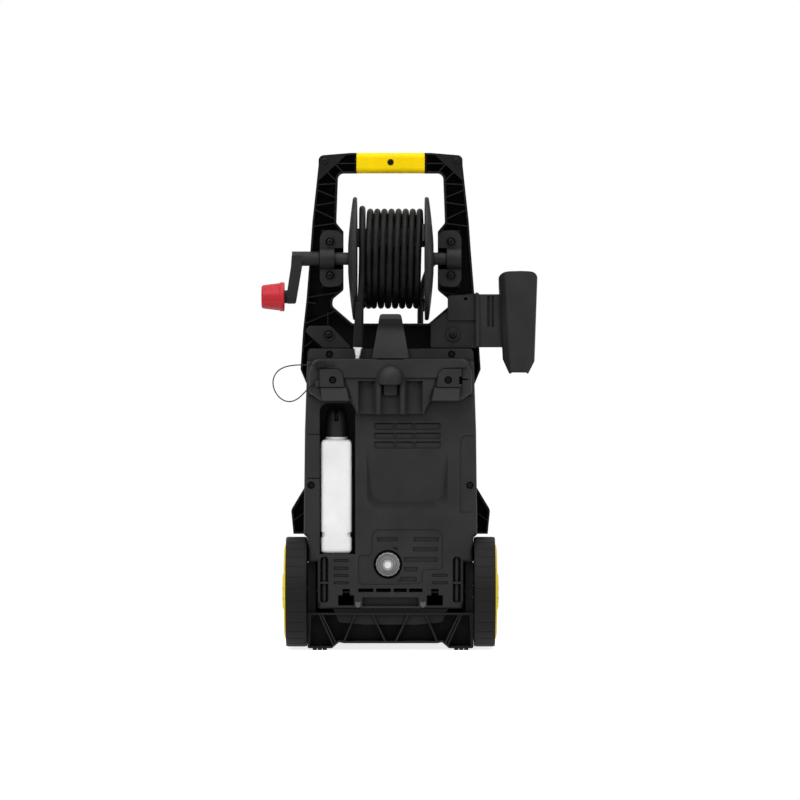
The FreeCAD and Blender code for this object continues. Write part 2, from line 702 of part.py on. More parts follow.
def biarc(start, leave, end, arrive):
    """Two tangent arcs from start to end, with the given unit directions."""
    span = end - start
    both = leave + arrive
    bend = 2 - 2 * leave.dot(arrive)
    along = span.dot(both)
    reach = (-along + math.sqrt(along ** 2 + bend * span.dot(span))) / bend
    first = start + leave * reach
    last = end - arrive * reach
    joint = (first + last) * 0.5
    return [arc_between(start, first, joint), arc_between(joint, last, end)]


def winding_x(turned_deg):
    """The hose's place along the axle: a steady pitch, then flat over the last turn's end."""
    before = WRAP_START_DEG
    passed = (turned_deg - before) / 360.0
    return max(WRAP_FIRST_X - WRAP_PITCH * passed, WRAP_LAST_X)


def winding_path():
    """Biarcs of a quarter turn from the guide on the right to the last turn on the left."""
    total = WRAP_START_DEG + 360.0 * WRAP_TURNS + WRAP_END_DEG
    steps = math.ceil(total / 90.0)
    places = []
    for i in range(steps + 1):
        s = total * i / steps
        here = on_reel(WRAP_START_DEG - s, WRAP_R, winding_x(s))
        near = on_reel(WRAP_START_DEG - s + 0.5, WRAP_R, winding_x(s - 0.5))
        far = on_reel(WRAP_START_DEG - s - 0.5, WRAP_R, winding_x(s + 0.5))
        places.append((here, (far - near).normalize()))
    edges = []
    for (start, leave), (end, arrive) in zip(places, places[1:]):
        edges += biarc(start, leave, end, arrive)
    return Part.Wire(edges), places[0]


def ring_wire(centre, direction, radius, sides=0):
    if not sides:
        return Part.Wire([Part.Circle(centre, direction, radius).toShape()])
    across = direction.cross(ALONG_X if abs(direction.x) < 0.9 else ALONG_Z).normalize()
    upward = direction.cross(across).normalize()
    corners = []
    for i in range(sides):
        turn = 2 * math.pi * (i + 0.5) / sides
        reach = radius / math.cos(math.pi / sides) ** 0.5
        corners.append(centre + across * (reach * math.cos(turn)) + upward * (reach * math.sin(turn)))
    return Part.makePolygon(corners + [corners[0]])


def hose_winding():
    path, (start, leave) = winding_path()
    tube = path.makePipeShell([ring_wire(start, leave, HOSE_R, HOSE_SIDES)], True, False)
    print("winding: gap between turns", round(WRAP_PITCH - 2 * HOSE_R, 2), "volume", round(tube.Volume))
    return tube


def route(points, name, first_edges=()):
    """Straight runs joined by tangent arcs, each as large as its two runs allow."""
    edges = list(first_edges)
    last = points[0]
    radii = []
    for before, corner, after in zip(points, points[1:], points[2:]):
        to_before = (before - corner).normalize()
        to_after = (after - corner).normalize()
        reach = 0.45 * min(before.distanceToPoint(corner), after.distanceToPoint(corner))
        half_turn = (math.pi - to_before.getAngle(to_after)) / 2
        radii.append(reach / math.tan(half_turn))
        first = corner + to_before * reach
        end = corner + to_after * reach
        edges.append(Part.LineSegment(last, first).toShape())
        edges.append(arc_between(first, corner, end))
        last = end
    edges.append(Part.LineSegment(last, points[-1]).toShape())
    print(name, "radii", [round(r) for r in radii])
    return Part.Wire(edges)


def tube_along(path, start, direction, radius, name):
    """A round tube along a path, with its volume printed beside section times length."""
    tube = path.makePipeShell([ring_wire(start, direction, radius)], True, False)
    print(name, "volume", round(tube.Volume), "expected", round(math.pi * radius ** 2 * path.Length))
    return tube


LOOSE_ROUTE = [
    on_reel(0.0, LOOSE_WRAP_R, LOOSE_WRAP_X),
    V(LOOSE_WRAP_X, -133.5, 548.0),
    V(-46.7, -133.9, 500.0),
    HOSE_END,
]
SUPPLY_ROUTE = [
    V(SWIVEL_X, 0.0, REEL_Z),
    V(SWIVEL_X, 26.0, REEL_Z),
    V(71.0, 50.0, REEL_Z - 2.0),
    V(62.0, 71.0, REEL_Z - 9.0),
    V(53.5, 85.5, REEL_Z - 25.5),
    V(47.6, 91.0, REEL_Z - 48.5),
    V(45.6, 89.0, REEL_Z - 73.5),
    V(45.4, 82.0, REEL_Z - 96.5),
    V(OUTLET_X, OUTLET_Y, REEL_Z - 116.5),
    V(OUTLET_X, OUTLET_Y, FRONT_TOP + 2.5),
]
TETHER_R = 0.9
TETHER_ROUTE = [
    V(LUG_X[0] - 0.1, -174.2, 427.3),
    V(-125.0, -174.2, 427.6),
    V(-142.0, -173.0, 427.4),
    V(-158.5, -170.5, 424.6),
    V(-170.5, -168.5, 416.5),
    V(-175.9, -167.0, 403.0),
    V(-173.0, -166.0, 388.5),
    V(-163.8, -165.5, 376.5),
    V(-151.5, -166.0, 371.6),
    V(-139.0, -167.4, 375.6),
    V(-128.4, -168.9, 385.8),
    V(-120.0, -169.8, 395.0),
    V(LUG_X[0] - 0.1, -170.0, 400.0),
]


def hose_free_end():
    """The first turn, which stays with the machine, and the end that hangs down from it."""
    quarters = 3
    angles = [LOOSE_START_DEG * (1 - i / quarters) for i in range(quarters + 1)]
    edges = []
    for a, b in zip(angles, angles[1:]):
        spots = [on_reel(t, LOOSE_WRAP_R, LOOSE_WRAP_X) for t in (a, (a + b) / 2, b)]
        edges.append(Part.Arc(*spots).toShape())
    path = route(LOOSE_ROUTE, "free hose", edges)
    start = on_reel(LOOSE_START_DEG, LOOSE_WRAP_R, LOOSE_WRAP_X)
    direction = (start - on_reel(LOOSE_START_DEG + 0.2, LOOSE_WRAP_R, LOOSE_WRAP_X)).normalize()
    return tube_along(path, start, direction, HOSE_R, "free hose")


def hose_sleeve():
    """The bend sleeve on the hose's end, wider towards the nipple."""
    above = LOOSE_ROUTE[-2]
    axis = (HOSE_END - above).normalize()
    top = HOSE_END - axis * ((SLEEVE_TOP - HOSE_END.z) / -axis.z)
    length = top.distanceToPoint(HOSE_END)
    body = Part.makeCone(SLEEVE_TOP_R, SLEEVE_END_R, length, top, axis)
    return body.cut(rod(HOSE_R + SLEEVE_PLAY, top - axis, axis, length + 2))


def hose_nipple():
    """The stepped metal nipple, its rings narrowing to a plain tip."""
    axis = (HOSE_END - LOOSE_ROUTE[-2]).normalize()
    across = axis.cross(ALONG_Y).normalize()
    profile = [(0.05, NIPPLE_BORE_R), (0.05, 7.6), (2.2, 7.6), (2.2, 5.4)]
    for i in range(NIPPLE_RINGS):
        start = 3.6 + i * NIPPLE_STEP
        core = 5.4 - 0.6 * i
        profile += [(start, core), (start, core + 1.0), (start + 1.6, core + 1.0), (start + 1.6, core - 0.6)]
    profile += [(NIPPLE_LENGTH, profile[-1][1]), (NIPPLE_LENGTH, NIPPLE_BORE_R)]
    return turned(profile, HOSE_END, axis, across)


def hose_supply_run():
    path = route(SUPPLY_ROUTE, "supply hose")
    direction = (SUPPLY_ROUTE[1] - SUPPLY_ROUTE[0]).normalize()
    return tube_along(path, SUPPLY_ROUTE[0], direction, HOSE_R, "supply hose")


def needle_tether():
    path = route(TETHER_ROUTE, "tether")
    direction = (TETHER_ROUTE[1] - TETHER_ROUTE[0]).normalize()
    return tube_along(path, TETHER_ROUTE[0], direction, TETHER_R, "tether")


# ---------------------------------------------------------------- rear cover and what it carries
COVER_LEFT = [
    (-COVER_HALF, DECK_Z, 6),
    (-128.0, 328.0),
    (-129.5, 200.0),
    (-129.5, SKIRT_TOP + 3, 3),
    (-SKIRT_HALF, SKIRT_TOP - 1.5, 2),
    (-SKIRT_HALF, SKIRT_LOW, 3),
    (-COVER_LOW_HALF, SKIRT_LOW, 3),
    (-COVER_LOW_HALF, COVER_LOW, 4),
]
PANEL = [
    (-48.3, 97.7, 8), (-48.3, 143.1, 6), (-28.5, 143.1, 6), (-28.5, 181.4, 12), (78.6, 181.4, 12),
    (78.6, 120.0, 6), (48.2, 120.0, 6), (48.2, 99.0, 8),
]
VENT_ROWS = [(329.9, 339.9), (316.0, 325.6), (301.7, 312.4)]
VENT_COLUMNS = [(-24.8, 6.0), (7.0, 34.7), (35.7, 75.1)]
PANEL_SLOTS = [
    [(-20, 162.8, 1), (-20, 169.5, 1), (10.6, 169.5, 1), (10.6, 162.8, 1)],
    [(34.5, 162.8, 1), (34.5, 169.5, 1), (72.3, 169.5, 1), (72.3, 162.8, 1)],
    [(1.0, 154.4, 1), (10.6, 154.4, 1), (10.6, 148.4, 1)],
    [(33.3, 147.9, 1), (33.3, 154.4, 1), (70.8, 154.4, 1), (70.8, 147.9, 1)],
    [(19.7, 132.2, 1), (19.7, 139.6, 1), (70.4, 139.6, 1), (70.4, 132.2, 1)],
    [(22.5, 117.8, 1), (18.5, 125.0, 1), (40.5, 125.0, 1), (40.5, 117.8, 1)],
    [(9.4, 103.0, 1), (16.4, 110.2, 1), (39.3, 110.2, 1), (39.3, 103.0, 1)],
]
SIDE_SLOTS = {
    -1: [(-85, -62.7, z) for z in (134.5, 123, 112, 101)],
    1: [(62.4, 85.5, z) for z in (112.5, 101)],
}
FOOT_SLOTS = [(-48.3, -25.7), (-21.6, 0.6), (4.4, 24.6), (27.6, 47.9)]
COVER_SCREWS = [(91.5, 442.0), (118.7, 247.0)]


def rear_cover():
    """The rear shell, with the bottle bay, the vents, the pocket and the inlet panel."""
    full = both_halves(COVER_LEFT)
    body = plate(full, COVER_NEAR, FRAME_NEAR)
    body = body.makeFillet(COVER_ROUND, edges_where(body, lambda e: lies_at_y(e, COVER_NEAR)))
    wide = COVER_HALF + 16
    shelf = block(-wide, wide, COVER_NEAR - 1, BAND_NEAR, BAND_LOW, DECK_Z + 1)
    body = body.cut(shelf)
    inside = Part.Face(outline(full, COVER_NEAR + COVER_WALL)).makeOffset2D(-COVER_WALL)
    hollow = inside.extrude(V(0, FRAME_NEAR - COVER_NEAR, 0))
    step = block(-wide, wide, COVER_NEAR - 1, BAND_NEAR + COVER_WALL, BAND_LOW - COVER_WALL, DECK_Z + 10)
    body = body.cut(hollow.cut(step))
    body = bottle_bay(body)
    body = wedge_pocket(body)
    body = inlet_panel(body)
    for z_low, z_high in VENT_ROWS:
        body = vent_row(body, z_low, z_high)
    for side in (-1, 1):
        body = side_details(body, side)
    return foot_details(body)


def bottle_bay(body):
    """The bay that the bottle stands in, arched above and square below."""
    w = COVER_WALL
    arch = 13.0
    bay = slab(BAY_LEFT, BAY_RIGHT, BAY_LOW, BAY_TOP, COVER_NEAR - 1, BAY_DEEP, arch)
    wall = slab(BAY_LEFT - w, BAY_RIGHT + w, BAY_LOW - w, BAY_TOP + w, COVER_NEAR + 1, BAY_DEEP + w, arch + w)
    body = fused(body, wall).cut(bay)
    return body.cut(slab(BAY_LEFT, BAY_RIGHT, BAY_LOW, BAY_LOW + 2 * arch, COVER_NEAR - 1, BAY_DEEP, 1.0))


def vent_row(body, z_low, z_high):
    """One row of louvres: shallow recesses with an open slit along the top of each."""
    floor = COVER_NEAR + LOUVRE_DEPTH
    for x_left, x_right in VENT_COLUMNS:
        low_left = 5.0 if x_left == VENT_COLUMNS[0][0] else 1.0
        low_right = 5.0 if x_right == VENT_COLUMNS[-1][1] else 1.0
        recess = [(x_left, z_low, low_left), (x_left, z_high, 1)]
        recess += [(x_right, z_high, 1), (x_right, z_low, low_right)]
        body = body.cut(plate(recess, COVER_NEAR - 1, floor))
        slit = block(x_left + 2, x_right - 2, floor - 1, COVER_NEAR + COVER_WALL + 1, z_high - 1.4, z_high)
        body = body.cut(slit)
    return body


def foot_details(body):
    """The open slots, the recess between the catches and the axle's bore along the cover's foot."""
    w = COVER_WALL
    for x_left, x_right in FOOT_SLOTS:
        body = body.cut(slab(x_left, x_right, 87.0, 92.7, COVER_NEAR - 1, COVER_NEAR + w + 1, 1.0))
    recess = block(-42, 42, COVER_NEAR - 1, COVER_NEAR + 12, 66.0, 79.5)
    wall = block(-42 - w, 42 + w, COVER_NEAR + 1, COVER_NEAR + 12 + w, 66.0 - w, 79.5 + w)
    body = fused(body, wall).cut(recess)
    return body.cut(rod_x(AXLE_R + 2.0, -BASE_HALF - 5, BASE_HALF + 5, AXLE_Y, AXLE_Z))


def side_details(body, side):
    """The oblong slot with its bars, the catch cut-out, the strip's seams and the screw holes of one side."""
    w = COVER_WALL
    low, high = sorted((side * (COVER_LOW_HALF - 16.5), side * (COVER_LOW_HALF - 4.2)))
    body = body.cut(slab(low, high, 71.0, 140.6, COVER_NEAR - 1, COVER_NEAR + w + 1, 6.0))
    back = slab(low - w, high + w, 68.0, 143.6, COVER_NEAR + 9, COVER_NEAR + 12, 7.0)
    tube = slab(low - w, high + w, 68.0, 143.6, COVER_NEAR + 1, COVER_NEAR + 12, 7.0)
    tube = tube.cut(slab(low, high, 71.0, 140.6, COVER_NEAR, COVER_NEAR + 13, 6.0))
    middle = (low + high) / 2
    bar = rod_z(4.4, 71.0, 140.0, middle, COVER_NEAR + 8)
    bar = bar.common(block(low, high, COVER_NEAR + 1, COVER_NEAR + 11, 70, 141))
    cross = block(low - 1, high + 1, COVER_NEAR + 1, COVER_NEAR + 10, 99.5, 102.5)
    body = fused(body, tube, back, bar, cross)
    for near_x, far_x, z in SIDE_SLOTS[side]:
        body = body.cut(slab(near_x, far_x, z - 2.2, z + 2.2, COVER_NEAR - 1, COVER_NEAR + w + 1, 2.1))
    body = catch(body, side * CATCH_X)
    outer = COVER_HALF + 6
    for z in SEAMS[side]:
        strip = sorted((side * (COVER_HALF - 20), side * outer))
        groove = block(strip[0], strip[1], COVER_NEAR - 1, COVER_NEAR + 1.6, z - 1.0, z + 1.0)
        body = body.cut(groove)
    if side > 0:
        panel = [(104.0, 206.0, 3), (104.0, 322.0, 10), (outer, 322.0, 1), (outer, 206.0, 1)]
        body = body.cut(plate(panel, COVER_NEAR - 1, COVER_NEAR + 1.4))
    shell = plate(both_halves(COVER_LEFT), COVER_NEAR, FRAME_NEAR)
    for x, z in COVER_SCREWS:
        near = BAND_NEAR if z > BAND_LOW else COVER_NEAR
        boss = rod_y(8.0, near + 1, FRAME_NEAR, side * x, z).common(shell)
        body = fused(body, boss)
        body = body.cut(screw_hole(side * x, z, near))
    return body


def catch(body, x):
    """A T-shaped cut-out with a screw in its foot."""
    through = COVER_NEAR + COVER_WALL + 1
    body = body.cut(block(x - 5.5, x + 5.5, COVER_NEAR - 1, through, 82, 92))
    body = body.cut(slab(x - 12, x + 12, 67.0, 82.6, COVER_NEAR - 1, through, 1.5))
    return body


def wedge_pocket(body):
    """A pocket that is flush at its top edge, deepest along its bottom, with softly drawn-in sides."""
    top, bottom, left, right = POCKET
    depth, draft, w = 11.0, 9.0, COVER_WALL

    def ring(inset, y, out=0.0):
        corner = 20.0 + out - inset * 0.5
        rim = [
            (left - out + inset, bottom - out + inset, corner), (left - out + inset, top),
            (right + out - inset, top), (right + out - inset, bottom - out + inset, corner),
        ]
        return outline(rim, y)

    def wedge(shift):
        slope = [
            V(left - 20, COVER_NEAR - 2, top), V(left - 20, COVER_NEAR + shift, top),
            V(left - 20, COVER_NEAR + depth + shift, bottom - w - 1),
            V(left - 20, COVER_NEAR - 2, bottom - w - 1),
        ]
        return Part.Face(Part.makePolygon(slope + [slope[0]])).extrude(V(right - left + 40, 0, 0))

    room = Part.makeLoft([ring(0, COVER_NEAR), ring(draft, COVER_NEAR + depth)], True)
    room = room.fuse(Part.Face(ring(0, COVER_NEAR - 1)).extrude(V(0, 1, 0))).common(wedge(0))
    rings = [ring(0, COVER_NEAR + 1, w), ring(draft, COVER_NEAR + depth + w, w)]
    shell = Part.makeLoft(rings, True).common(wedge(w))
    return fused(body, shell).cut(room)


def inlet_panel(body):
    """The raised outline round the water inlet, its recessed bars and the round recess."""
    w = COVER_WALL
    step = plate(PANEL, COVER_NEAR - 1, COVER_NEAR + 1.4)
    body = fused(body, plate(PANEL, COVER_NEAR + 1, COVER_NEAR + w + 1.4).cut(step)).cut(step)
    for points in PANEL_SLOTS:
        body = body.cut(plate(points, COVER_NEAR, COVER_NEAR + 1.4 + LOUVRE_DEPTH))
    well = rod_y(INLET_RECESS_R + w, COVER_NEAR + 1.4, COVER_NEAR + 22, INLET_X, INLET_Z)
    body = fused(body, well)
    body = body.cut(rod_y(INLET_RECESS_R, COVER_NEAR - 1, COVER_NEAR + 19, INLET_X, INLET_Z))
    return body.cut(rod_y(PIPE_R + SEAT, COVER_NEAR, COVER_NEAR + 30, INLET_X, INLET_Z))


def side_plate(points, x0, x1):
    """An outline in Y and Z, extruded along X."""
    shape = plate(points, -x1, -x0)
    shape.rotate(V(0, 0, 0), ALONG_Z, 90)
    return shape


def top_hook():
    """The tapered tongue above the holder, curling forward at its tip, that the coiled cable hangs on."""
    low = HOLDER_TOP + SEAT * 2
    far = BAND_NEAR - SEAT
    half = [(-15.8, HOOK_TOP, 5), (-27.7, low)]
    front = plate(both_halves(half), HOOK_TIP - 1, far)
    curl = HOOK_TOP - HOOK_NEAR + HOOK_TIP
    side = [
        (far, low), (HOOK_NEAR, low), (HOOK_NEAR, curl - 1, 14), (HOOK_TIP, HOOK_TOP - 7),
        (HOOK_TIP, HOOK_TOP, 2), (HOOK_TIP + 9, HOOK_TOP, 8), (far, HOOK_TOP - 16, 10),
    ]
    return front.common(side_plate(side, -30, 30))


def holder_arm():
    """The left shoulder of the holder: rounded outwards, hollow behind, with its pad and drip lip."""
    shape = [
        (-20.0, HOLDER_TOP), (-113.8, HOLDER_TOP, 9), (-121.6, 417.0, 9), (-121.6, 386.0, 10),
        (-104.6, 373.6, 8), (-59.8, 373.0, 1.5), (-49.3, HOLDER_LOW, 2), (-20.0, HOLDER_LOW),
    ]
    face = HOLDER_NEAR + 5
    body = plate(shape, face, COVER_NEAR)
    outer = edges_where(body, lambda e: lies_at_y(e, face) and e.BoundBox.XMax < -105.0)
    body = body.makeFillet(8.0, outer)
    upper = [
        (-20.0, HOLDER_TOP - 1), (-111.0, HOLDER_TOP - 1, 8), (-113.5, 424.0, 2), (-77.9, 422.4, 3),
        (-70.7, 415.3, 3), (-69.5, 408.5, 1), (-20.0, 408.5),
    ]
    band = plate(upper, HOLDER_NEAR, face + 1)
    pad = [
        (-105.4, 421.6, 1), (-78.3, 421.6, 3), (-71.4, 414.9, 3), (-70.3, 407.0),
        (-69.5, 394.6, 1), (-105.4, 394.6, 1),
    ]
    pad = plate(pad, HOLDER_NEAR - PAD_PROUD, face + 1)
    lip = side_plate([
        (face + 1, 393.7), (HOLDER_NEAR, 393.7), (HOLDER_NEAR - 6, 374.0, 1), (face + 1, 373.4),
    ], -104.0, -60.0)
    outline = [(-104.0, 394.0), (-66.0, 394.0), (-61.2, 373.0), (-101.8, 373.0)]
    lip = lip.common(plate(outline, HOLDER_NEAR - 7, face + 2))
    leg = [(-68.0, 408.0), (-20.0, 408.0), (-20.0, HOLDER_LOW), (-49.3, HOLDER_LOW, 2)]
    leg = plate(leg, HOLDER_NEAR + 3, face + 1)
    body = fused(body, band, pad, lip, leg)
    hollow = slab(-112.0, -54.0, 380.0, 430.0, face + COVER_WALL, COVER_NEAR + 1, 4)
    post = rod_y(COVER_SCREW_R + 4, face, COVER_NEAR, -PAD_X, PAD_Z)
    body = fused(body.cut(hollow), post)
    return body.cut(screw_hole(-PAD_X, PAD_Z, HOLDER_NEAR - PAD_PROUD))


def lance_holder():
    """The accessory holder: two shoulders, two lance channels and a round central socket."""
    left = holder_arm()
    body = fused(left, mirrored(left), block(-21, 21, HOLDER_NEAR, COVER_NEAR, HOLDER_LOW, HOLDER_TOP - 1))
    for side in (-1, 1):
        body = body.cut(rod_z(CLIP_SLOT_R, HOLDER_LOW - 1, 403.5, side * CLIP_SLOT_X, HOLDER_NEAR + 3))
    body = body.cut(rod_z(SOCKET_R, HOLDER_LOW - 1, 399.0, 0.0, HOLDER_NEAR + 1))
    body = body.cut(block(-SOCKET_R, SOCKET_R, HOLDER_NEAR - 2, HOLDER_NEAR + 1, HOLDER_LOW - 1, 399.0))
    tab = slab(-10, 10, 382, 399.5, HOLDER_NEAR + 8, HOLDER_NEAR + 18, 3)
    dome = Part.makeSphere(20.5, V(0, HOLDER_NEAR + 6, 406.5))
    dome = dome.common(block(-21, 21, HOLDER_NEAR - 15, HOLDER_NEAR + 1, 398.5, 427.5))
    lug = slab(*LUG_X, 395.0, 404.5, HOLDER_NEAR + 0.4, HOLDER_NEAR + 9, 2)
    notch = slab(102.2, 107.0, 398.5, 410.5, HOLDER_NEAR - 3, HOLDER_NEAR + 9, 0.6)
    tail = slab(106.0, 115.8, 404.5, 407.0, HOLDER_NEAR - 3, HOLDER_NEAR + 9, 0.6)
    return fused(body, tab, dome, lug).cut(notch).cut(tail)


def cleaning_needle():
    """The nozzle needle in its clip, with the eye that the tether passes."""
    grip = slab(-112.4, -97.0, 424.0, 430.5, HOLDER_NEAR - 4, HOLDER_NEAR - SEAT, 2)
    stem = rod_x(0.9, -97.2, -84.0, HOLDER_NEAR - 2, 427.2)
    return fused(grip, stem)


def cover_screws():
    solids = []
    for side in (-1, 1):
        for x, z in COVER_SCREWS:
            near = BAND_NEAR if z > BAND_LOW else COVER_NEAR
            solids.append(screw(side * x, z, near + SCREW_SINK, COVER_SCREW_R, COVER_SCREW_LENGTH))
        face = HOLDER_NEAR - PAD_PROUD + SCREW_SINK
        solids.append(screw(side * PAD_X, PAD_Z, face, COVER_SCREW_R, COVER_SCREW_LENGTH))
    return Part.makeCompound(solids)


# ---------------------------------------------------------------- bottle
def detergent_bottle():
    """A blown bottle with waisted sides, an open neck and an even wall."""
    def body(inset):
        shape = slab(
            BOTTLE_LEFT + inset, BOTTLE_RIGHT - inset, BOTTLE_LOW + inset, BOTTLE_TOP - inset,
            BOTTLE_NEAR + inset, BOTTLE_FAR - inset, 6.0 - inset,
        )
        for x in (BOTTLE_LEFT, BOTTLE_RIGHT):
            notch = rod_y(3.6 + inset, BOTTLE_NEAR - 1, BOTTLE_FAR + 1, x, 172.5)
            shape = shape.cut(notch)
        faces = [BOTTLE_NEAR + inset, BOTTLE_FAR - inset]
        edges = edges_where(shape, lambda e: any(lies_at_y(e, y) for y in faces))
        return shape.makeFillet(4.0 - inset * 0.8, edges)

    x, y = bottle_axis()
    neck = rod_z(BOTTLE_NECK_R, BOTTLE_TOP - 3, NECK_TOP, x, y)
    ring = rod_z(CAP_R, BOTTLE_TOP - 0.5, BOTTLE_TOP + 4.2, x, y)
    inside = fused(body(BOTTLE_WALL), rod_z(BOTTLE_NECK_R - BOTTLE_WALL, BOTTLE_TOP - 8, NECK_TOP + 1, x, y))
    return fused(body(0.0), neck, ring).cut(inside)


def bottle_axis():
    return (BOTTLE_LEFT + BOTTLE_RIGHT) / 2, (BOTTLE_NEAR + BOTTLE_FAR) / 2


def bottle_cap():
    """The screw cap, nearly straight up to a rounded top, with a deep slot that leaves two lobes."""
    x, y = bottle_axis()
    low = BOTTLE_TOP + 4.2 + SEAT
    top = BOTTLE_CAP_TOP
    bore = BOTTLE_NECK_R + SEAT
    profile = [
        (low, bore), (low, CAP_R), (top - 17, CAP_R - 1.3), (top - 10, CAP_R - 1.9), (top - 6, CAP_R - 2.9),
        (top - 3, CAP_R - 4.8), (top - 1, CAP_R - 7.6), (top, CAP_R - 11), (top, 0), (NECK_TOP + SEAT, 0),
        (NECK_TOP + SEAT, bore),
    ]
    body = turned(profile, V(x, y, 0), ALONG_Z, ALONG_X)
    slot = block(x - 3.0, x + 3.0, y - CAP_R - 2, y + CAP_R + 2, top - 20, top + 1)
    core = rod_z(6.0, top - 21, top - 8, x, y)
    body = body.cut(slot.cut(core))
    return body.cut(rod_z(TUBE_R + SEAT, NECK_TOP - 1, top - 10, x, y))


def suction_tube():
    x, y = bottle_axis()
    tube = rod_z(TUBE_R, BOTTLE_LOW + 8, 351.0, x, y)
    return tube.cut(rod_z(TUBE_R - 1.2, BOTTLE_LOW + 7, 350.0, x, y))


# ---------------------------------------------------------------- water inlet
def inlet_collar():
    """The ring that screws the inlet to the cover's recess, with eight slight lugs to grip."""
    near = COVER_NEAR - 2
    far = COVER_NEAR + 19
    profile = [
        (near, NIPPLE_R + SEAT), (near, COLLAR_R - 2), (near + 0.6, COLLAR_R - 0.6),
        (near + 2, COLLAR_R), (far, COLLAR_R), (far, NIPPLE_R + SEAT),
    ]
    ring = turned(profile, V(INLET_X, 0, INLET_Z), ALONG_Y, ALONG_Z)
    lug = block(INLET_X - 2, INLET_X + 2, near + 3, far, INLET_Z + COLLAR_R - 1, INLET_Z + COLLAR_R + 0.9)
    return fused(ring, *around_axis(lug, V(INLET_X, 0, INLET_Z), ALONG_Y, 8))


def inlet_nipple():
    """The garden-hose nipple, with a snap groove and an O-ring groove."""
    near = COVER_NEAR - 16
    r = NIPPLE_R
    profile = [
        (near, INLET_BORE_R), (near, r - 3.2), (near + 1.5, r - 2.4), (near + 4, r - 2.4), (near + 4, r - 4),
        (near + 6, r - 4), (near + 6, r - 2.4), (near + 9, r - 2.4),
        (near + 9, r - 0.6), (near + 11, r - 0.6),
        (near + 11, r - 3), (near + 14, r - 3), (near + 14, r), (COVER_NEAR + 19, r),
        (COVER_NEAR + 19, PIPE_R), (COVER_NEAR + 28, PIPE_R), (COVER_NEAR + 28, INLET_BORE_R),
    ]
    return turned(profile, V(INLET_X, 0, INLET_Z), ALONG_Y, ALONG_Z)


def inlet_filter():
    """The filter cup in the nipple's mouth, closed at its near end."""
    near = COVER_NEAR - 15
    cup = rod_y(INLET_BORE_R - SEAT, near, near + 24, INLET_X, INLET_Z)
    return cup.cut(rod_y(INLET_BORE_R - 1.6, near + 2, near + 25, INLET_X, INLET_Z))


def inlet_pipe():
    """The pipe from the nipple through the bulkhead to the pump head."""
    start = COVER_NEAR + 28
    pipe = rod_y(PIPE_R, start, MOTOR_Y - PUMP_R - SEAT, INLET_X, INLET_Z)
    return pipe.cut(rod_y(INLET_BORE_R, start - 1, MOTOR_Y - PUMP_R + 1, INLET_X, INLET_Z))


# ---------------------------------------------------------------- holster
def brace_plate():
    """The left cover plate over the foot of the upright."""
    low, high = DECK_Z + 1, CROSSBAR_TOP - 2.3
    shape = [
        (-123.8, high, 3), (-91.2, high, 4), (-86.0, high - 4.2, 3), (-58.5, low, 2), (-102.3, low, 3),
        (-129.0, high - 8.2, 3),
    ]
    body = plate(shape, FRAME_NEAR - BRACE_WALL, FRAME_NEAR)
    x, z = BRACE_SCREW
    face = FRAME_NEAR - BRACE_WALL - 2
    body = fused(body, rod_y(8.4, face, FRAME_NEAR - 1, x, z))
    body = body.cut(Part.makeCone(7.2, 5.4, 1.6, V(x, face, z), ALONG_Y))
    return body.cut(rod_y(2.4 + SEAT, face - 1, FRAME_NEAR + 1, x, z))


def holster_bracket():
    """The right bracket plate with its boss, stepped where the holster's arm hooks in."""
    shape = [
        (60.6, DECK_Z + 1), (60.6, CROSSBAR_TOP + 1, 3), (86.0, CROSSBAR_TOP + 20.5),
        (89.0, CROSSBAR_TOP + 37, 3), (92.0, ARM_TOP - 3.5, 3),
        (ARM_IN, ARM_TOP + 2, 4), (ARM_IN, DECK_Z + 1),
    ]
    near = FRAME_NEAR - BRACKET_WALL
    body = plate(shape, near, FRAME_NEAR)
    step = slab(86, ARM_IN, CROSSBAR_TOP + 6, ARM_TOP - 2, near - 3, near + 1, 4)
    body = fused(body, step, rod_y(9.8, near - 3, near + 1, 94.0, DECK_Z + 21))
    body = body.cut(rod_y(2.4 + SEAT, near - 4, FRAME_NEAR + 1, 94.0, DECK_Z + 21))
    return body.cut(rod_y(2.5, near - 4, FRAME_NEAR + 1, 113.0, ARM_TOP - 7))


def holster_ring(z, inset):
    """The holster's section at a height, narrower towards its mouth at the bottom."""
    taper = (HOLSTER_TOP - z) / (HOLSTER_TOP - HOLSTER_LOW)
    x0 = HOLSTER_LEFT + 5 * taper + inset
    x1 = HOLSTER_RIGHT - 5 * taper - inset
    y0 = HOLSTER_NEAR + 6 * taper + inset
    y1 = HOLSTER_FAR - 14 * taper - inset
    r = 9.0 - inset
    ring = outline([(x0, -y0, r), (x0, -y1, r), (x1, -y1, r), (x1, -y0, r)])
    # The outline lies in X and Z: a quarter turn about X lays it flat, with its heights along -Y
    ring.rotate(V(0, 0, 0), ALONG_X, 90)
    ring.translate(V(0, 0, z))
    return ring


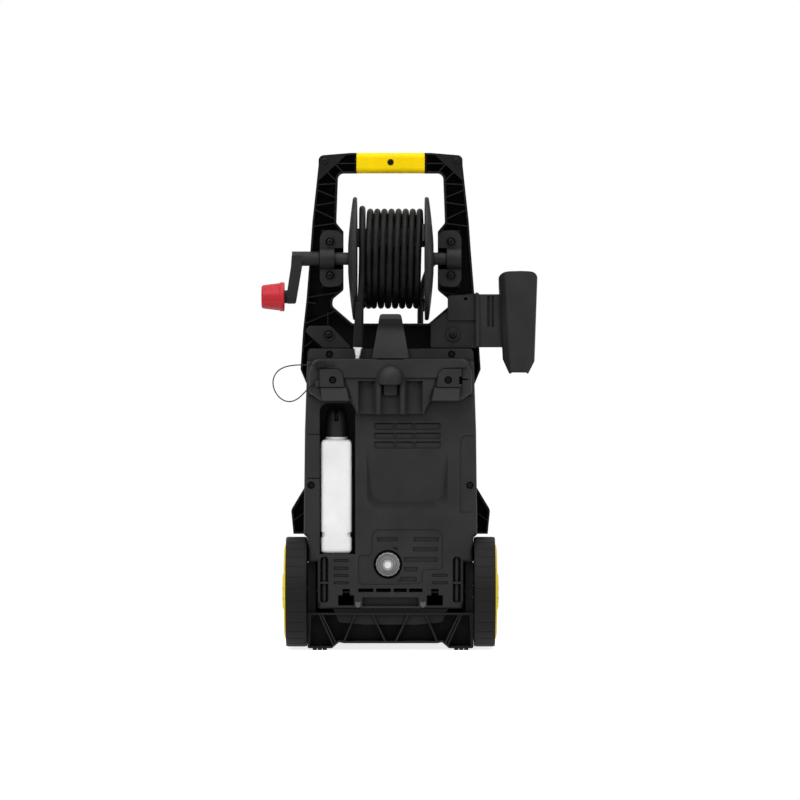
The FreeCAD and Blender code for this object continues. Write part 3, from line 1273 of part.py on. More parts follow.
def gun_holster():
    """A tapered sleeve for the gun, open above and below, on an arm with two grooves."""
    outer = Part.makeLoft([holster_ring(HOLSTER_TOP, 0), holster_ring(HOLSTER_LOW, 0)], True)
    inner = Part.makeLoft(
        [holster_ring(HOLSTER_TOP + 0.01, HOLSTER_WALL), holster_ring(HOLSTER_LOW - 0.01, HOLSTER_WALL)], True
    )
    rise = [
        V(100, HOLSTER_NEAR - 5, HOLSTER_TOP + 9), V(100, HOLSTER_FAR + 5, HOLSTER_TOP + 9),
        V(100, HOLSTER_FAR + 5, HOLSTER_TOP - 34),
    ]
    scoop = Part.Face(Part.makePolygon(rise + [rise[0]])).extrude(V(200, 0, 0))
    mouth = [(HOLSTER_LEFT - 20, 430.5), (178.7, HOLSTER_LOW - 1)]
    mouth += [(206.0, HOLSTER_LOW - 1), (HOLSTER_RIGHT + 20, 430.5)]
    mouth += [(HOLSTER_RIGHT + 20, HOLSTER_TOP - 14), (HOLSTER_RIGHT - 14, HOLSTER_TOP + 1)]
    mouth += [(HOLSTER_LEFT + 12, HOLSTER_TOP + 1), (HOLSTER_LEFT - 20, HOLSTER_TOP - 24)]
    tapered = plate(mouth, HOLSTER_NEAR - 5, HOLSTER_FAR + 5)
    near = FRAME_NEAR - ARM_DEPTH
    arm = slab(ARM_IN + SEAT, HOLSTER_LEFT + 6, ARM_LOW, ARM_TOP, near, FRAME_NEAR - SEAT, 5)
    for x in (147.5, 153.9):
        arm = arm.cut(slab(x - 1.6, x + 1.6, ARM_LOW + 31, ARM_TOP - 2, near - 1, near + 2.5, 1.5))
    return fused(outer.common(tapered).cut(scoop), arm).cut(inner)


# ---------------------------------------------------------------- base, axle and wheels
BASE_LEFT = [
    (-BASE_HALF, FRAME_FOOT),
    (-BASE_HALF, SOLE_Z, 3),
    (-FOOT_IN, SOLE_Z, 3),
    (-77.0, BASE_ARCH_Z + 1.5, 3),
    (-70.0, BASE_ARCH_Z, 3),
]


def base_frame():
    """The base moulding: two foot boxes joined by an arch, ribbed in front of its recessed panel."""
    ring = [(-p[0],) + tuple(p[1:]) for p in reversed(BASE_LEFT)]
    full = BASE_LEFT + ring
    web_far = BASE_NEAR + BASE_RECESS
    body = plate(full, BASE_NEAR, BASE_FAR)
    section = Part.Face(outline(full, BASE_NEAR)).makeOffset2D(-BASE_WALL)
    body = body.cut(section.extrude(V(0, BASE_RECESS, 0)))
    under = Part.Face(outline(full, web_far + BASE_WALL)).makeOffset2D(-BASE_WALL)
    body = body.cut(under.extrude(V(0, BASE_FAR - web_far - 2 * BASE_WALL, 0)))
    inside = Part.Face(outline(full, BASE_NEAR)).extrude(V(0, BASE_RECESS + 1, 0))
    ribs = []
    for x0, z0, x1, z1 in [
        (-BASE_HALF + 4.7, 54.0, -BASE_HALF + 2.5, 4.0), (-BASE_HALF + 17.6, 54.0, -BASE_HALF + 38.6, 8.0),
        (-BASE_HALF + 21.6, 54.0, -BASE_HALF + 42.6, 10.0),
        (-51.8, 56.0, -71.0, 10.0),
        (-27.9, 56.0, -6.3, 10.0),
    ]:
        rib = web(x0, z0, x1, z1, BASE_NEAR, web_far + 1, BASE_RIB).common(inside)
        ribs += [rib, mirrored(rib)]
    lip = [(-86.0, COVER_LOW - SEAT), (-76.7, 41.6, 5), (-38.0, 38.2)]
    lip += [(38.0, 38.2), (76.7, 41.6, 5), (86.0, COVER_LOW - SEAT)]
    lip = plate(lip, BASE_NEAR + 4, BASE_NEAR + 4 + BASE_WALL)
    body = fused(body, *ribs, lip)
    inner = -COVER_LOW_HALF - 2.5
    ear = slab(-BASE_HALF, inner, FRAME_FOOT - 6, SKIRT_LOW - SEAT, AXLE_Y - 24, AXLE_Y + 24, 4)
    for z in (AXLE_Z + 9.5, AXLE_Z - 8.5):
        ear = ear.cut(block(-BASE_HALF - 1, -BASE_HALF + 1.2, AXLE_Y - 25, AXLE_Y + 25, z - 1.5, z + 1.5))
    ear = ear.cut(rod_x(AXLE_R + SEAT, -BASE_HALF - 1, inner + 1, AXLE_Y, AXLE_Z))
    return fused(body, ear, mirrored(ear))


def feet():
    """Rubber treads, three under each foot at the near and the far end."""
    treads = []
    middle = (BASE_HALF + FOOT_IN) / 2
    for y0, y1 in ((BASE_NEAR + 2, BASE_NEAR + 42), (BASE_FAR - 44, BASE_FAR - 4)):
        for x in (-middle - TREAD_STEP, -middle, -middle + TREAD_STEP):
            tread = slab(x - 3.2, x + 3.2, 0.0, SOLE_Z, y0, y1, 0.8)
            treads += [tread, mirrored(tread)]
    return Part.makeCompound(treads)


def axle():
    return rod_x(AXLE_R, -HUB_CAP_OUT + 4, HUB_CAP_OUT - 4, AXLE_Y, AXLE_Z)


def axle_clips():
    """The clips that hold the wheels on, in a groove near each end of the axle."""
    ring = rod_x(AXLE_R + 4, WHEEL_OUT - 2.6, WHEEL_OUT - 1.2, AXLE_Y, AXLE_Z)
    ring = ring.cut(rod_x(AXLE_R + 0.05, WHEEL_OUT - 4, WHEEL_OUT, AXLE_Y, AXLE_Z))
    return pair(ring)


def wheel():
    """The right wheel: a square-shouldered tread, a web and a hub, ribbed on its inner face."""
    start, end = WHEEL_IN + SIDE_PLAY, WHEEL_OUT
    r = WHEEL_R
    profile = [
        (start, AXLE_R + RUN), (start, 17), (start + 12, 18), (start + 12, r - 14),
        (start, r - 12), (start, r - 1), (start + 0.3, r - 0.3), (start + 1, r),
        (end - 1, r), (end - 0.3, r - 0.3), (end, r - 1), (end, DISC_R + 1),
        (end - 4, DISC_R + 0.6), (end - 4, 20), (end - 4, AXLE_R + RUN),
    ]
    body = turned(profile, V(0, AXLE_Y, AXLE_Z), ALONG_X, ALONG_Z)
    rib = block(start + 1, start + 13, AXLE_Y - 1.5, AXLE_Y + 1.5, AXLE_Z + 16, AXLE_Z + r - 11)
    return fused(body, *around_axis(rib, V(0, AXLE_Y, AXLE_Z), ALONG_X, 10))


def wheel_disc():
    """The right wheel's yellow trim disc, domed, with six windows and a round boss for the cap."""
    inner = WHEEL_OUT - 4 + SEAT
    outer = WHEEL_OUT + DISC_PROUD
    profile = [
        (inner, 14), (inner, DISC_R), (WHEEL_OUT + 0.4, DISC_R), (outer - 0.9, DISC_R - 2.5),
        (outer, DISC_R - 6), (outer, 14),
    ]
    body = turned(profile, V(0, AXLE_Y, AXLE_Z), ALONG_X, ALONG_Z)
    window = slab_x(10, 20, AXLE_Z + HUB_CAP_R + 7, AXLE_Z + DISC_R - 9, outer - 2.4, outer + 1)
    for one in around_axis(window, V(0, AXLE_Y, AXLE_Z), ALONG_X, 6):
        body = body.cut(one)
    return body


def slab_x(half_low, half_high, z0, z1, x0, x1):
    """A tapered pad about the axle's line, extruded along X."""
    corners = [
        V(x0, AXLE_Y - half_low, z0), V(x0, AXLE_Y + half_low, z0),
        V(x0, AXLE_Y + half_high, z1), V(x0, AXLE_Y - half_high, z1),
    ]
    body = Part.Face(Part.makePolygon(corners + [corners[0]])).extrude(V(x1 - x0, 0, 0))
    return body.makeFillet(3.0, edges_where(body, lambda e: abs(e.Vertexes[0].X - e.Vertexes[-1].X) > 1))


def hub_cap():
    """The hub cap, snapped into the disc, with four notches in its edge to prise it off."""
    outer = WHEEL_OUT + DISC_PROUD
    root = 14 - SEAT
    rest = outer + SEAT / 3
    profile = [
        (outer - 3.2, AXLE_R + 6), (outer - 3.2, root), (rest, root), (rest, HUB_CAP_R),
        (HUB_CAP_OUT - 1.2, HUB_CAP_R - 1), (HUB_CAP_OUT, HUB_CAP_R - 4), (HUB_CAP_OUT, 0),
        (HUB_CAP_OUT - 1.4, 0), (HUB_CAP_OUT - 1.4, AXLE_R + 6),
    ]
    body = turned(profile, V(0, AXLE_Y, AXLE_Z), ALONG_X, ALONG_Z)
    for rise in HUB_CAP_NOTCHES:
        half = math.sqrt(HUB_CAP_R ** 2 - rise ** 2)
        z = AXLE_Z + rise
        near = AXLE_Y - half
        body = body.cut(block(rest + 0.8, HUB_CAP_OUT + 1, near - 1, near + 3, z - 1.5, z + 1.5))
    return body


# ---------------------------------------------------------------- front housing and drive
FRONT_LEFT = [(-100.0, FRONT_TOP, 24), (-FRONT_HALF, 380.0, 60), (-FRONT_HALF, FRAME_FOOT + SEAT)]


def front_cover():
    """The front shell: one moulding with a drawn-in top, side vents and the knob's recess."""
    back = FRAME_NEAR + FRAME_DEPTH
    full = both_halves(FRONT_LEFT)
    body = plate(full, back, FRONT_FAR)
    front_edges = edges_where(body, lambda e: lies_at_y(e, FRONT_FAR))
    body = body.makeFillet(18.0, front_edges)
    inner_face = Part.Face(outline(full, back - 1)).makeOffset2D(-FRONT_WALL)
    hollow = inner_face.extrude(V(0, FRONT_FAR - back + 1 - FRONT_WALL, 0))
    hollow = hollow.makeFillet(15.0, edges_where(hollow, lambda e: lies_at_y(e, FRONT_FAR - FRONT_WALL)))
    body = body.cut(hollow)
    for row in range(6):
        y = 30.0 + row * 16.0
        for side in (-1, 1):
            x0, x1 = sorted((side * (FRONT_HALF - 8), side * (FRONT_HALF + 2)))
            body = body.cut(block(x0, x1, y, y + 6, 240.0, 320.0))
    body = body.cut(rod_y(SWITCH_SHAFT_R + RUN, FRONT_FAR - 12, FRONT_FAR + 1, 0.0, SWITCH_Z))
    body = body.cut(rod_z(HOSE_R + 3.0, FRONT_TOP - 20, FRONT_TOP + 1, OUTLET_X, OUTLET_Y))
    return body.cut(rod_y(GLAND_R + SEAT, FRONT_FAR - 12, FRONT_FAR + 1, 70.0, 110.0))


def switch_knob():
    """The rotary on/off knob with a grip bar across it."""
    near = FRONT_FAR + SIDE_PLAY
    base = rod_y(SWITCH_R, near, near + 6, 0.0, SWITCH_Z)
    bar = slab(-5.0, 5.0, SWITCH_Z - SWITCH_R + 2, SWITCH_Z + SWITCH_R - 2, near + 5, near + 17, 4)
    shaft = rod_y(SWITCH_SHAFT_R, FRONT_FAR - 22, near + 1, 0.0, SWITCH_Z)
    return fused(base, bar, shaft)


def switch_box():
    far = FRONT_FAR - FRONT_WALL - SEAT
    body = block(-22, 22, FRONT_FAR - 36, far, SWITCH_Z - 24, SWITCH_Z + 24)
    return body.cut(rod_y(SWITCH_SHAFT_R + RUN, FRONT_FAR - 22.5, far + 1, 0.0, SWITCH_Z))


def cable_gland():
    flange = rod_y(GLAND_R + 4, FRONT_FAR + 0.1, FRONT_FAR + 4, 70.0, 110.0)
    barrel = rod_y(GLAND_R, FRONT_FAR - 8, FRONT_FAR + 12, 70.0, 110.0)
    return fused(flange, barrel).cut(rod_y(3.6, FRONT_FAR - 9, FRONT_FAR + 13, 70.0, 110.0))


def hose_grommet():
    """The rubber ring that seats the supply hose in the front cover's top."""
    profile = [
        (FRONT_TOP - 5, HOSE_R + 0.5), (FRONT_TOP - 5, HOSE_R + 2.7), (FRONT_TOP + 0.1, HOSE_R + 2.7),
        (FRONT_TOP + 0.1, HOSE_R + 5), (FRONT_TOP + 2, HOSE_R + 5), (FRONT_TOP + 2.5, HOSE_R + 0.5),
    ]
    return turned(profile, V(OUTLET_X, OUTLET_Y, 0), ALONG_Z, ALONG_X)


def outlet_pipe():
    """The pressure pipe from the pump head up to the supply hose."""
    top = SUPPLY_ROUTE[-1].z
    pipe = rod_z(HOSE_R - 0.75, HEAD_LOW + 20, top, OUTLET_X, OUTLET_Y)
    return pipe.cut(rod_z(2.0, HEAD_LOW + 22, top + 1, OUTLET_X, OUTLET_Y))


def motor_stator():
    """The stator pack with its mounting feet against the bulkhead."""
    body = rod_z(STATOR_R, STATOR_LOW, STATOR_TOP, MOTOR_X, MOTOR_Y)
    body = body.cut(rod_z(STATOR_BORE, STATOR_LOW - 1, STATOR_TOP + 1, MOTOR_X, MOTOR_Y))
    back = FRAME_NEAR + FRAME_DEPTH
    for z in (STATOR_LOW + 12, STATOR_TOP - 24):
        foot = block(MOTOR_X - 30, MOTOR_X + 30, back + 0.1, MOTOR_Y - STATOR_R + 12, z, z + 12)
        body = fused(body, foot)
    return body


def end_shield(low, seat_low):
    """A motor end shield with a bearing seat at its centre."""
    body = rod_z(STATOR_R, low, low + SHIELD_H, MOTOR_X, MOTOR_Y)
    body = body.cut(rod_z(SHAFT_R + 3.0, low - 1, low + SHIELD_H + 1, MOTOR_X, MOTOR_Y))
    return body.cut(rod_z(BEARING_R, seat_low, seat_low + BEARING_H, MOTOR_X, MOTOR_Y))


def end_shields():
    """The lower shield stands on the pump, the upper one closes the stator."""
    lower = end_shield(STATOR_LOW - SHIELD_H, STATOR_LOW - BEARING_H)
    upper = end_shield(STATOR_TOP, STATOR_TOP)
    return Part.makeCompound([lower, upper])


def motor_bearings():
    rings = []
    for low in (STATOR_LOW - BEARING_H, STATOR_TOP):
        ring = rod_z(BEARING_R - RUN, low, low + BEARING_H - 0.1, MOTOR_X, MOTOR_Y)
        rings.append(ring.cut(rod_z(SHAFT_R + RUN, low - 1, low + BEARING_H + 1, MOTOR_X, MOTOR_Y)))
    return Part.makeCompound(rings)


def motor_rotor():
    """The rotor pack, its shaft, the cooling fan above and the wobble plate below."""
    shaft = rod_z(SHAFT_R, PUMP_TOP - 34, STATOR_TOP + 34, MOTOR_X, MOTOR_Y)
    pack = rod_z(STATOR_BORE - 1.0, STATOR_LOW + 2, STATOR_TOP - 2, MOTOR_X, MOTOR_Y)
    hub = rod_z(14.0, STATOR_TOP + 16, STATOR_TOP + 32, MOTOR_X, MOTOR_Y)
    blade = block(MOTOR_X + 12, MOTOR_X + 44, MOTOR_Y - 1, MOTOR_Y + 1, STATOR_TOP + 17, STATOR_TOP + 31)
    blade.rotate(V(MOTOR_X + 20, MOTOR_Y, STATOR_TOP + 24), ALONG_X, 32)
    fan = around_axis(blade, V(MOTOR_X, MOTOR_Y, 0), ALONG_Z, 7)
    plate_low = PUMP_TOP - 30
    wobble = rod_z(30.0, plate_low, plate_low + 18, MOTOR_X, MOTOR_Y)
    wedge = block(MOTOR_X - 40, MOTOR_X + 40, MOTOR_Y - 40, MOTOR_Y + 40, plate_low - 20, plate_low)
    wedge.rotate(V(MOTOR_X - 30, MOTOR_Y, plate_low), ALONG_Y, -9)
    return fused(shaft, pack, hub, wobble.cut(wedge), *fan)


def pump_body():
    """The pump's crank chamber and cylinder block, with three piston bores."""
    body = rod_z(PUMP_R, PUMP_LOW, PUMP_TOP - SEAT / 3, MOTOR_X, MOTOR_Y)
    body = body.cut(rod_z(32.0, PUMP_TOP - 34, PUMP_TOP + 1, MOTOR_X, MOTOR_Y))
    for x, y in piston_places():
        body = body.cut(rod_z(PISTON_R + RUN, PUMP_LOW - 1, PUMP_TOP, x, y))
    return body


def piston_places():
    return [
        (MOTOR_X + PISTON_RING * math.cos(a), MOTOR_Y + PISTON_RING * math.sin(a))
        for a in (math.radians(d) for d in (90.0, 210.0, 330.0))
    ]


def pistons():
    return Part.makeCompound([
        rod_z(PISTON_R, PUMP_LOW + 0.2, PUMP_TOP - 34, x, y) for x, y in piston_places()
    ])


def pump_head():
    """The valve head with the inlet and outlet bosses."""
    body = rod_z(PUMP_R, HEAD_LOW, PUMP_LOW - 0.1, MOTOR_X, MOTOR_Y)
    outlet = block(MOTOR_X + 20, OUTLET_X + 8, OUTLET_Y - 8, OUTLET_Y + 8, HEAD_LOW + 2, HEAD_LOW + 20 - 0.1)
    floor = FRAME_FOOT + SEAT + FRONT_WALL + 0.1
    foot = block(MOTOR_X - 24, MOTOR_X + 24, MOTOR_Y - 30, MOTOR_Y + 30, floor, HEAD_LOW + 1)
    return fused(body, outlet, foot)


def capacitor():
    back = FRAME_NEAR + FRAME_DEPTH
    return rod_z(17.0, 210.0, 290.0, -92.0, back + 17.0 + SEAT)


# ---------------------------------------------------------------- the parts
def frame_screws():
    """The screws of the brace plate, the bracket, the grip, the corners and the bearing caps."""
    brace_x, brace_z = BRACE_SCREW
    corner_x, corner_z = CORNER_SCREW
    solids = [
        screw(brace_x, brace_z, FRAME_NEAR - BRACE_WALL - 0.4, 5.0, 12.0),
        screw(94.0, DECK_Z + 21, FRAME_NEAR - BRACKET_WALL - 3, 6.0, 14.0),
        screw(0.0, GRIP_SCREW_Z, FRAME_NEAR - GRIP_OVER + 2.4, 4.4, 38.0),
    ]
    for side in (-1, 1):
        solids.append(screw(side * corner_x, corner_z, FRAME_NEAR, 4.8, 12.0))
        for z in CAP_SCREWS_Z:
            solids.append(screw(side * CAP_SCREW_X, z, FRAME_NEAR - CAP_FLANGE + 1.0, 5.2, 20.0))
    return Part.makeCompound(solids)


def parts():
    return {
        "main_frame": main_frame(),
        "grip_near_half": grip_half(True),
        "grip_far_half": grip_half(False),
        "bearing_caps": pair(bearing_cap()),
        "bearing_bushes": bearing_bushes(),
        "hose_swivel": hose_swivel(),
        "brace_plate": brace_plate(),
        "holster_bracket": holster_bracket(),
        "frame_screws": frame_screws(),
        "gun_holster": gun_holster(),
        "reel_flange_left": reel_flange(-1),
        "reel_flange_right": reel_flange(1),
        "drum_cage": drum_cage(),
        "stub_axle_left": stub_axle(-1),
        "stub_axle_right": stub_axle(1),
        "crank_arm": crank_arm(),
        "crank_pin": crank_pin(),
        "crank_knob": crank_knob(),
        "hose_winding": hose_winding(),
        "hose_free_end": hose_free_end(),
        "hose_sleeve": hose_sleeve(),
        "hose_nipple": hose_nipple(),
        "hose_supply_run": hose_supply_run(),
        "hose_grommet": hose_grommet(),
        "rear_cover": rear_cover(),
        "top_hook": top_hook(),
        "lance_holder": lance_holder(),
        "cover_screws": cover_screws(),
        "cleaning_needle": cleaning_needle(),
        "needle_tether": needle_tether(),
        "detergent_bottle": detergent_bottle(),
        "bottle_cap": bottle_cap(),
        "suction_tube": suction_tube(),
        "inlet_collar": inlet_collar(),
        "inlet_nipple": inlet_nipple(),
        "inlet_filter": inlet_filter(),
        "inlet_pipe": inlet_pipe(),
        "base_frame": base_frame(),
        "feet": feet(),
        "axle": axle(),
        "axle_clips": axle_clips(),
        "wheel_left": mirrored(wheel()),
        "wheel_right": wheel(),
        "wheel_disc_left": mirrored(wheel_disc()),
        "wheel_disc_right": wheel_disc(),
        "hub_cap_left": mirrored(hub_cap()),
        "hub_cap_right": hub_cap(),
        "front_cover": front_cover(),
        "switch_knob": switch_knob(),
        "switch_box": switch_box(),
        "cable_gland": cable_gland(),
        "motor_stator": motor_stator(),
        "end_shields": end_shields(),
        "motor_bearings": motor_bearings(),
        "motor_rotor": motor_rotor(),
        "pump_body": pump_body(),
        "pistons": pistons(),
        "pump_head": pump_head(),
        "outlet_pipe": outlet_pipe(),
        "capacitor": capacitor(),
    }


os.makedirs("parts", exist_ok=True)
for name, shape in parts().items():
    if not shape.isValid() or shape.Volume <= 0:
        print("INVALID", name)
    shape.exportStep("parts/" + name + ".step")
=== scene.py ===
"""The looks of a wheeled pressure washer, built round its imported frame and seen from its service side."""
import math

import bmesh
import bpy
from mathutils import Matrix, Vector


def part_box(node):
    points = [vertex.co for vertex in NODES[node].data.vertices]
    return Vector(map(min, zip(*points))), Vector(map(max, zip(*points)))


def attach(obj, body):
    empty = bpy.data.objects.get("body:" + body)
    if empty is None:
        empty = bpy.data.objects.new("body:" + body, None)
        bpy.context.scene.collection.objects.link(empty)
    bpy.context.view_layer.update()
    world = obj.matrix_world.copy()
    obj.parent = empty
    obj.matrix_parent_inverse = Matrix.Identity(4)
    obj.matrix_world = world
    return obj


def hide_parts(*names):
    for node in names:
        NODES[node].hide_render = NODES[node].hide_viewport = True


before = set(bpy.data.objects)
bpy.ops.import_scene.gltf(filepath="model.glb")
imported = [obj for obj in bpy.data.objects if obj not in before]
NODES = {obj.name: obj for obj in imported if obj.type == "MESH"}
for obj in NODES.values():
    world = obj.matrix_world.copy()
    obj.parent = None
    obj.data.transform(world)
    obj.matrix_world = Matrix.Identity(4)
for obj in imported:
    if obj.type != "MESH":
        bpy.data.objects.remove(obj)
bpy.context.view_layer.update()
MM = 0.001


def at(x, y, z):
    """A point given in millimetres, in the scene's metres."""
    return Vector((x, y, z)) * MM


def box_mm(name):
    """The lowest and highest corners of a node at rest, in millimetres."""
    low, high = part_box(name)
    return Vector(low) / MM, Vector(high) / MM


# Where the reel, its hose and the small loose parts are, in millimetres
REEL = (0.0, -60.0, 585.5)
WRAP_R = 70.95
WRAP_PITCH = 10.66
WRAP_FIRST_X = 41.4
WRAP_LAST_X = -33.2
WRAP_TURNS = 7
WRAP_START_DEG = 150.0
WRAP_END_DEG = 100.0
HOSE_R = 4.75
TETHER_R = 0.9
LOOSE_X = -42.5
LOOSE_R = 75.2
LOOSE_START_DEG = 250.0
LOOSE_DROP = 133
SUPPLY_LENGTH = 0.208
TETHER_LENGTH = 0.166
STEPS_A_TURN = 16
HOSE_END = at(-48.5, -132.5, 453.3)
COVER_NEAR = -145.0
SHARP_DEG = 32
WELD = 0.002

# Detergent bottle
SHOULDER_Z = 314.6
WAIST_Z = 172.5
WAIST_R = 4.4
NECK_R = 13.0
NECK_RING_R = 16.9
BOTTLE_WALL = 1.8
PAD_HEIGHTS = (299.0, 245.0, 191.0)


# ---------------------------------------------------------------- finishes
class Value:
    """A shader socket that takes part in Python arithmetic."""

    def __init__(self, paint, socket):
        self.paint = paint
        self.socket = socket

    def maths(self, operation, *terms):
        """One step of arithmetic as a node."""
        return self.paint.node("ShaderNodeMath", {"operation": operation}, dict(enumerate(terms)))

    def __add__(self, other):
        return self.maths("ADD", self, other)

    def __sub__(self, other):
        return self.maths("SUBTRACT", self, other)

    def __rsub__(self, other):
        return self.maths("SUBTRACT", other, self)

    def __mul__(self, other):
        return self.maths("MULTIPLY", self, other)

    __radd__ = __add__
    __rmul__ = __mul__

    def highest(self, other):
        return self.maths("MAXIMUM", self, other)

    def between(self, low, high):
        """0 below low, 1 above high, and a straight slope between them."""
        return self.paint.node(
            "ShaderNodeMapRange", {"clamp": True}, {"Value": self, "From Min": low, "From Max": high}
        )


class Paint:
    """The nodes of a material or of the world, with one way of making them."""

    def __init__(self, owner):
        self.owner = owner
        owner.use_nodes = True
        self.tree = owner.node_tree

    def node(self, kind, settings=None, sockets=None, out=0):
        """A new node with its settings and sockets filled in, as one of its outputs."""
        made = self.tree.nodes.new(kind)
        for name, value in (settings or {}).items():
            setattr(made, name, value)
        for name, value in (sockets or {}).items():
            self.feed(made.inputs[name], value)
        return Value(self, made.outputs[out])

    def feed(self, socket, value):
        """Links a Value to a socket, or sets a plain one on it."""
        if isinstance(value, Value):
            self.tree.links.new(value.socket, socket)
        elif isinstance(value, tuple) and len(value) == 3 and socket.type == "RGBA":
            socket.default_value = (*value, 1)
        else:
            socket.default_value = value

    def place(self):
        """The point on the object, in metres."""
        return self.node("ShaderNodeTexCoord", out="Object")

    def noise(self, scale, detail=2.0, vector=None):
        """Soft clouds from 0 to 1."""
        return self.node(
            "ShaderNodeTexNoise", {}, {"Vector": vector or self.place(), "Scale": scale, "Detail": detail}
        )

    def cells(self, scale):
        """The distance to the nearest of many scattered points."""
        return self.node("ShaderNodeTexVoronoi", {}, {"Vector": self.place(), "Scale": scale})

    def stretched(self, x, y, z):
        """The place, scaled differently along each axis."""
        return self.node(
            "ShaderNodeVectorMath", {"operation": "MULTIPLY"}, {0: self.place(), 1: (x, y, z)}
        )

    def facing_up(self):
        """1 where the surface looks up and 0 where it looks down or to a side."""
        normal = self.node("ShaderNodeNewGeometry", out="Normal")
        lift = self.node("ShaderNodeSeparateXYZ", {}, {0: normal}, out="Z")
        return lift.between(0.2, 0.9)

    def open_to_air(self, reach_mm):
        """0 deep in a crease or a slot and 1 on open ground, from ambient occlusion; it masks painted shade.
        """
        room = self.node("ShaderNodeAmbientOcclusion", {"samples": 6}, {"Distance": reach_mm * MM}, out="AO")
        return room.between(0.5, 0.97)

    def mix(self, factor, low, high):
        """A colour between two others."""
        return self.node(
            "ShaderNodeMix", {"data_type": "RGBA"}, {0: factor, 6: low, 7: high}, out=2
        )

    def rounded(self, radius_mm):
        """The surface's direction with its sharp edges eased."""
        return self.node("ShaderNodeBevel", {"samples": 4}, {"Radius": radius_mm * MM})

    def along_edges(self, eased):
        """1 on a sharp edge and 0 on flat ground, from how far the eased direction leans."""
        true = self.node("ShaderNodeNewGeometry", out="True Normal")
        same = self.node(
            "ShaderNodeVectorMath", {"operation": "DOT_PRODUCT"}, {0: eased, 1: true}, out="Value"
        )
        return (1 - same).between(0.01, 0.22)

    def bump(self, height, depth_mm, ground):
        """The ground's direction with a fine relief on it."""
        sockets = {"Height": height, "Distance": depth_mm * MM, "Strength": 1.0, "Normal": ground}
        return self.node("ShaderNodeBump", {}, sockets)

    def seen_directly(self):
        """1 for camera, mirror and glass rays, which see a plain white background."""
        rays = [self.node("ShaderNodeLightPath", out="Is " + kind + " Ray")
                for kind in ("Camera", "Glossy", "Transmission")]
        return rays[0].highest(rays[1]).highest(rays[2])

    def finish(self, **sockets):
        """Fills in the surface's sockets and gives the owner back."""
        for name, value in sockets.items():
            self.feed(self.tree.nodes["Principled BSDF"].inputs[name.replace("_", " ")], value)
        return self.owner


def tone(red, green, blue):
    """A colour given as it looks on a screen, 0 to 255, as the light it reflects."""
    def linear(c):
        c = c / 255
        return c / 12.92 if c <= 0.04045 else ((c + 0.055) / 1.055) ** 2.4
    return (linear(red), linear(green), linear(blue))


def lighter(colour, share):
    """A colour part of the way to white."""
    return tuple(c + (1 - c) * share for c in colour)


def darker(colour, share):
    """A colour part of the way to black."""
    return tuple(c * (1 - share) for c in colour)


def moulded(
    name, colour, rough, grain_mm=0.35, wear_and_edge_highlight=0.012, gloss=0.2, dust=0.004, crease_mm=4.0, crease_shade=0.85
):
    """Moulded plastic: a sparked grain, a drift in tone, edges lighter from wear and from a painted
    highlight, dust, and painted shade in creases.
    """
    paint = Paint(bpy.data.materials.new(name))
    eased = paint.rounded(0.8)
    edge = paint.along_edges(eased)
    grain = paint.noise(1 / (grain_mm * MM), 2.0)
    drift = paint.noise(22.0, 3.0)
    scuff = paint.noise(160.0, 4.0, paint.stretched(1.0, 1.0, 0.35)).between(0.62, 0.74)
    flow = paint.noise(9.0, 4.0, paint.stretched(1.0, 1.0, 5.0))
    ground = paint.mix(drift.between(0.3, 0.7), darker(colour, 0.12), lighter(colour, wear_and_edge_highlight * 0.25))
    settled = paint.facing_up() * (0.4 + 0.6 * drift)
    dusty = paint.mix(settled, ground, lighter(colour, dust))
    # Edges go lighter: partly wear, partly a painted highlight along them.
    worn_and_highlit_edge = paint.mix(edge * (0.55 + 0.45 * scuff), dusty, lighter(colour, wear_and_edge_highlight))
    sheen = rough + (drift - 0.5) * 0.12 + (grain - 0.5) * 0.1 - edge * 0.12 + (flow - 0.5) * 0.06
    return paint.finish(
        # Painted shade: the base colour goes darker in creases and slots, where ambient occlusion finds
        # little open ground.
        Base_Color=paint.mix(paint.open_to_air(crease_mm), darker(colour, crease_shade), worn_and_highlit_edge),
        Roughness=sheen, Specular_IOR_Level=gloss, Normal=paint.bump(grain, 0.02, eased),
    )


def rubber(name, colour, rough, gloss=0.3):
    """Soft black rubber with a fine grain and a dusty bloom."""
    paint = Paint(bpy.data.materials.new(name))
    eased = paint.rounded(0.8)
    grain = paint.noise(1400.0, 3.0)
    bloom = paint.noise(45.0, 4.0).between(0.42, 0.72)
    dusty = paint.mix(bloom * 0.6, colour, lighter(colour, 0.012))
    return paint.finish(
        Base_Color=dusty, Roughness=rough + bloom * 0.12, Specular_IOR_Level=gloss,
        Normal=paint.bump(grain, 0.03, eased),
    )


def metal(name, colour, rough, brushed=(1.0, 1.0, 1.0)):
    """Bright metal with turning or rolling lines and faint stains."""
    paint = Paint(bpy.data.materials.new(name))
    eased = paint.rounded(0.4)
    lines = paint.noise(900.0, 3.0, paint.stretched(*brushed))
    cloud = paint.noise(60.0, 3.0)
    stained = paint.mix(cloud.between(0.35, 0.75), colour, darker(colour, 0.18))
    return paint.finish(
        Base_Color=stained, Metallic=1.0, Roughness=rough + (lines - 0.5) * 0.16,
        Normal=paint.bump(lines, 0.01, eased),
    )


def cast(name, colour, rough):
    """Sand-cast metal, pitted and dull."""
    paint = Paint(bpy.data.materials.new(name))
    eased = paint.rounded(0.8)
    pits = paint.cells(700.0)
    cloud = paint.noise(40.0, 4.0)
    dull = paint.mix(cloud.between(0.3, 0.7), darker(colour, 0.2), colour)
    return paint.finish(
        Base_Color=dull, Metallic=1.0, Roughness=rough + (cloud - 0.5) * 0.2,
        Normal=paint.bump(pits, 0.05, eased),
    )
